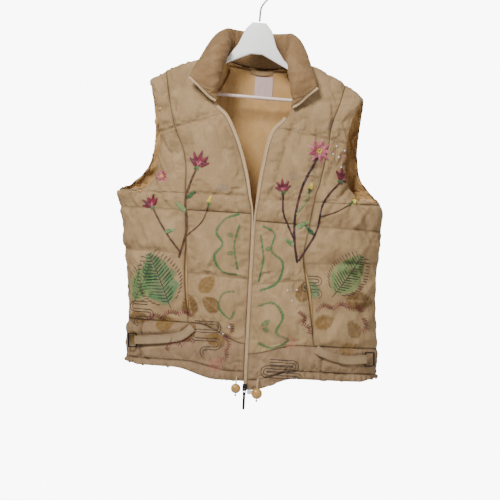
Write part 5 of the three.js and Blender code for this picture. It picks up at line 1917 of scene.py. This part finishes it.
@dataclass
class Drawcord:
    """One end of the hem's elastic cord with its ball toggle and knot."""

    side: Side
    x: float
    casing_y: float
    eyelet_z: float
    toggle_z: float
    radius: float
    y: float = -95.0
    cord_radius: float = 1.5
    bore: float = 2.3
    knot: float = 2.5

    @property
    def end_z(self) -> float:
        """Where the cord ends under its toggle."""
        return self.toggle_z - self.radius - 0.4

    def build(self, finishes: Wardrobe) -> None:
        """Makes the cord, toggle and knot."""
        knots = np.array([
            (self.x, self.casing_y, self.eyelet_z),
            (self.x, self.casing_y - 5, self.eyelet_z - 0.3),
            (self.x, self.y + 4, self.eyelet_z - 3),
            (self.x, self.y, self.eyelet_z - 10),
            (self.x, self.y, self.toggle_z),
            (self.x, self.y, self.end_z),
        ], float)
        route = spline(knots, np.linspace(0, len(knots) - 1, 36)) * MM
        word = self.side.word
        cord = tube(("drawcord_" + word, f"drawcord_{word}_braid"), [route], self.cord_radius, 4)
        cord.data.materials.append(finishes.cord)
        toggle = self.ball(f"toggle_{word}_ball", finishes.toggle)
        tied = self.tied(f"cord_knot_{word}_tied", finishes.cord)
        length = float(steps_along(route)[-1])
        tuple(route[0])
        ride(cord, "cord", "drawcord_" + word)
        ride(toggle, "toggle", "toggle_" + word)
        ride(tied, "cord", "cord_knot_" + word)

    def ball(self, name: str, material: bpy.types.Material) -> bpy.types.Object:
        """A turned ball with a hollow rim round its bore."""
        bm = bmesh.new()
        reach = math.asin((self.bore + 0.9) / self.radius)
        rim = self.radius * math.cos(reach)
        profile = [(self.bore, rim - 1.6), (self.bore + 0.5, rim - 0.2)]
        for k in range(19):
            angle = mix(reach, math.pi - reach, k / 18)
            swell = 1 - 0.03 * math.exp(-(((angle - math.pi / 2) / 0.1) ** 2))
            profile.append((self.radius * swell * math.sin(angle), self.radius * math.cos(angle)))
        profile += [(r, -z) for r, z in profile[1::-1]]
        verts = [bm.verts.new((r * MM, 0, z * MM)) for r, z in profile]
        edges = [bm.edges.new(pair) for pair in zip(verts, verts[1:] + verts[:1])]
        bmesh.ops.spin(
            bm, geom=verts + edges, axis=(0, 0, 1), cent=(0, 0, 0), angle=2 * math.pi, steps=40, use_merge=True,
        )
        bmesh.ops.remove_doubles(bm, verts=bm.verts[:], dist=0.005 * MM)
        bmesh.ops.recalc_face_normals(bm, faces=bm.faces[:])
        bmesh.ops.translate(bm, verts=bm.verts[:], vec=Vector((self.x, self.y, self.toggle_z)) * MM)
        return new_object(name, to_mesh(bm, name), [material])

    def tied(self, name: str, material: bpy.types.Material) -> bpy.types.Object:
        """The cord's knot, two wraps drawn tight."""
        bm = bmesh.new()
        bmesh.ops.create_icosphere(bm, subdivisions=4, radius=self.knot * MM)
        for vert in bm.verts:
            turn = math.atan2(vert.co.y, vert.co.x)
            wraps = math.sin(3 * turn + vert.co.z / MM * 2.6)
            vert.co *= 0.9 + 0.1 * wraps
        centre = Vector((self.x, self.y, self.end_z - 0.4 - self.knot)) * MM
        bmesh.ops.translate(bm, verts=bm.verts[:], vec=centre)
        return new_object(name, to_mesh(bm, name), [material])


class Hardware:
    """Rings, slider, pull, box and the hanger."""

    hook_radius = 20.0
    hook_wire = 2.0
    tilt = math.radians(2.35)

    def __init__(self, finishes: Wardrobe) -> None:
        """Keeps the finishes."""
        self.finishes = finishes

    def build(self) -> None:
        """Makes each part."""
        f = self.finishes
        for side in Side:
            node = f"side_ring_{side.word}"
            ride(dressed_copy(node, node + "_wire", 0.7, f.dark_metal), "dark_metal", node)
        ride(dressed_copy("zip_slider", "zip_slider_cast", 0.4, f.dark_metal), "dark_metal", "zip_slider")
        pull = dressed_copy("zip_pull", "zip_pull_tab", 0.22, f.dark_metal)
        ride(pull, "dark_metal", "zip_pull", body=PULL_BODY)
        ride(self.pull_eye(), "dark_metal", body=PULL_BODY)
        ride(dressed_copy("zip_retainer", "zip_box_moulded", 0.6, f.box), "zip_box", "zip_retainer")
        ride(dressed_copy("hanger_arms", "hanger_plate", 0.8, f.plastic), "hanger_plastic", "hanger_arms")
        ride(self.bar(), "hanger_plastic", "hanger_bar")
        ride(self.hook(), "hook_wire", "hanger_hook")

    def pull_eye(self) -> bpy.types.Object:
        """The small bright dome pressed in the pull tab."""
        low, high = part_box("zip_pull")
        bm = bmesh.new()
        bmesh.ops.create_uvsphere(bm, u_segments=20, v_segments=12, radius=1.3 * MM)
        bmesh.ops.scale(bm, verts=bm.verts[:], vec=(1, 0.4, 1))
        centre = Vector(((low.x + high.x) / 2, low.y, high.z - 12 * MM))
        bmesh.ops.translate(bm, verts=bm.verts[:], vec=centre)
        return new_object("zip_pull_dome", to_mesh(bm, "zip_pull_dome"), [self.finishes.wire])

    def bar(self) -> bpy.types.Object:
        """The hanger's round bar, with softened ends."""
        return self.rod("hanger_bar_round", [(-187, -236), (187, -236)], 3.5, self.finishes.bar, 12)

    def hook(self) -> bpy.types.Object:
        """The bent wire hook."""
        angles = np.radians(np.arange(200, -39, -6.0))
        r = self.hook_radius
        ring = [(r * math.cos(a), self.hook_wire - r + r * math.sin(a)) for a in angles]
        stem = spline(np.array([ring[-1], (5, -43), (0, -56), (0, -80.6)]), np.linspace(0, 3, 24))[1:]
        return self.rod("hanger_hook_wire", ring + list(stem), self.hook_wire, self.finishes.wire, 8)

    def rod(
        self, name: str, route: Sequence[Sequence[float]], radius: float, material: bpy.types.Material, roundness: int,
    ) -> bpy.types.Object:
        """A rod along x, z points in the hanger's own tilted plane."""
        turn = Matrix.Rotation(self.tilt, 3, "Y")
        places = [turn @ Vector((x, 0, z)) * MM for x, z in route]
        return tube_piece(name, [places], radius, roundness, material)


# ------------------------------------------------------------------ sewing
class Topstitching:
    """Short stitches beside the seams of the fronts."""

    length = 3.0
    pause = 0.9

    def __init__(self, grounds: dict[Side, Ground]) -> None:
        """Starts the thread."""
        self.grounds = grounds
        self.strands = Strands("topstitching", 0.28)

    def line(self, side: Side, us: Array, vs: Array) -> None:
        """Stitches along a line of a front's own u and v."""
        xz = FrontShell(side).point(us, vs)[:, [0, 2]]
        along = steps_along(xz)
        for start in np.arange(1.0, along[-1] - self.length, self.length + self.pause):
            at = start + self.length * np.array([0, 0.5, 1])
            path = np.stack([np.interp(at, along, xz[:, k]) for k in (0, 1)], 1)
            self.strands.lay(self.grounds[side], path, 0.12, 0.12)

    def build(self, finishes: Wardrobe) -> None:
        """Sews both fronts."""
        for side in Side:
            shell = FrontShell(side)
            rows = np.linspace(CHEST - 2.8, SHOULDER - 0.4, 200)
            self.line(side, shell.seam(rows) - 0.011, rows)
            us = np.linspace(0.02, 0.86, 160)
            for v in (CASING + 0.06, BAND + 0.035, BAND - 0.035, CHEST + 0.035):
                limit = 0.86 if v < CHEST else float(shell.seam(np.array(v))) - 0.02
                self.line(side, us[us < limit], np.full((us < limit).sum(), v))
            edge = np.linspace(0.1, NECK_CORNER - 0.7, 260)
            self.line(side, np.full_like(edge, 0.03), edge)
        self.strands.build(finishes.sewing)


# ------------------------------------------------------------------ studio
@dataclass
class Studio:
    """The camera, soft lights, world and pale floor."""

    azimuth: float = math.radians(6)
    distance: float = 4.5
    roll: float = math.radians(3)
    width: float = 1.025
    aim: tuple[float, float, float] = (0.0013, 0.0, -0.549)
    floor_z: float = -1.25
    floor_radius: float = 1.5
    ambient: float = 0.36
    paper: float = 9.0

    def build(self) -> None:
        """Sets the studio up."""
        scene = bpy.context.scene
        back = Vector((math.sin(self.azimuth), -math.cos(self.azimuth), 0))
        data = bpy.data.cameras.new("camera")
        data.sensor_width = 36
        data.lens = 36 * self.distance / self.width
        data.clip_end = 100
        camera = bpy.data.objects.new("camera", data)
        scene.collection.objects.link(camera)
        right = Vector((math.cos(self.azimuth), math.sin(self.azimuth), 0))
        up = Vector((0, 0, 1)) * math.cos(self.roll) - right * math.sin(self.roll)
        across = up.cross(back)
        basis = Matrix((across, up, back)).transposed().to_4x4()
        camera.matrix_world = Matrix.Translation(Vector(self.aim) + back * self.distance) @ basis
        scene.camera = camera
        self.world()
        self.lamp("key", (-0.8, -1.9, 1.4), 0.9, 108)
        self.lamp("fill", (2.4, -2.4, 0.1), 1.8, 24)
        self.lamp("rim", (0.6, 2.4, 0.8), 1.4, 30)
        self.floor()

    def world(self) -> None:
        """A dim even light all round, which the camera sees as white paper."""
        world = bpy.data.worlds.new("studio")
        world.use_nodes = True
        nodes, links = world.node_tree.nodes, world.node_tree.links
        light = nodes["Background"]
        paper = nodes.new("ShaderNodeBackground")
        for shader, colour, strength in (
            (light, (1.0, 0.985, 0.96, 1), self.ambient), (paper, (1, 1, 1, 1), self.paper),
        ):
            shader.inputs["Color"].default_value = colour
            shader.inputs["Strength"].default_value = strength
        path, mixed = nodes.new("ShaderNodeLightPath"), nodes.new("ShaderNodeMixShader")
        links.new(path.outputs["Is Camera Ray"], mixed.inputs[0])
        links.new(light.outputs[0], mixed.inputs[1])
        links.new(paper.outputs[0], mixed.inputs[2])
        links.new(mixed.outputs[0], nodes["World Output"].inputs["Surface"])
        bpy.context.scene.world = world

    def lamp(self, name: str, place: tuple[float, float, float], size: float, power: float) -> None:
        """A square soft light that looks at the vest."""
        data = bpy.data.lights.new(name, "AREA")
        data.shape = "SQUARE"
        data.size = size
        data.energy = power
        lamp = bpy.data.objects.new(name, data)
        lamp.location = place
        toward = Vector(self.aim) - Vector(place)
        lamp.rotation_euler = toward.to_track_quat("-Z", "Y").to_euler()
        bpy.context.scene.collection.objects.link(lamp)

    def floor(self) -> None:
        """A round pale floor under the hanging vest."""
        bm = bmesh.new()
        bmesh.ops.create_circle(bm, cap_ends=True, segments=96, radius=self.floor_radius)
        bmesh.ops.translate(bm, verts=bm.verts[:], vec=(0, 0, self.floor_z))
        pale = Hard("floor_paper", (244, 243, 241), (240, 239, 237), 0.85, grain_scale=30, relief=0.02)
        new_object("floor", to_mesh(bm, "floor"), [pale.material()])


DRAWCORDS = (
    Drawcord(Side.RIGHT, x=-3, casing_y=-79, eyelet_z=-805, toggle_z=-828, radius=10),
    Drawcord(Side.LEFT, x=40, casing_y=-81, eyelet_z=-808, toggle_z=-836, radius=11),
)


def main() -> None:
    """Builds the studio, the cords and then every piece."""
    logging.basicConfig(level=logging.INFO)
    Studio().build()
    finishes = Wardrobe()
    for cord in DRAWCORDS:
        cord.build(finishes)
    panels = Vest(finishes).build()
    fronts = {side: [piece for name, piece in panels.items() if f"_{side.word}_" in name] for side in Side}
    grounds = {side: Ground(pieces) for side, pieces in fronts.items()}
    Embroidery(grounds).sew()
    Sequins().build(grounds, finishes.box)
    Topstitching(grounds).build(finishes)
    Zip().build(finishes)
    Collar().build(finishes)
    NeckTrim().build(finishes)
    PocketFacings().build(finishes)
    webbing = Strands("strap_stitching", 0.28)
    for side in Side:
        Strap(side).build(finishes, webbing)
    webbing.build(finishes.sewing)
    Hardware(finishes).build()


if __name__ == "__main__":
    main()
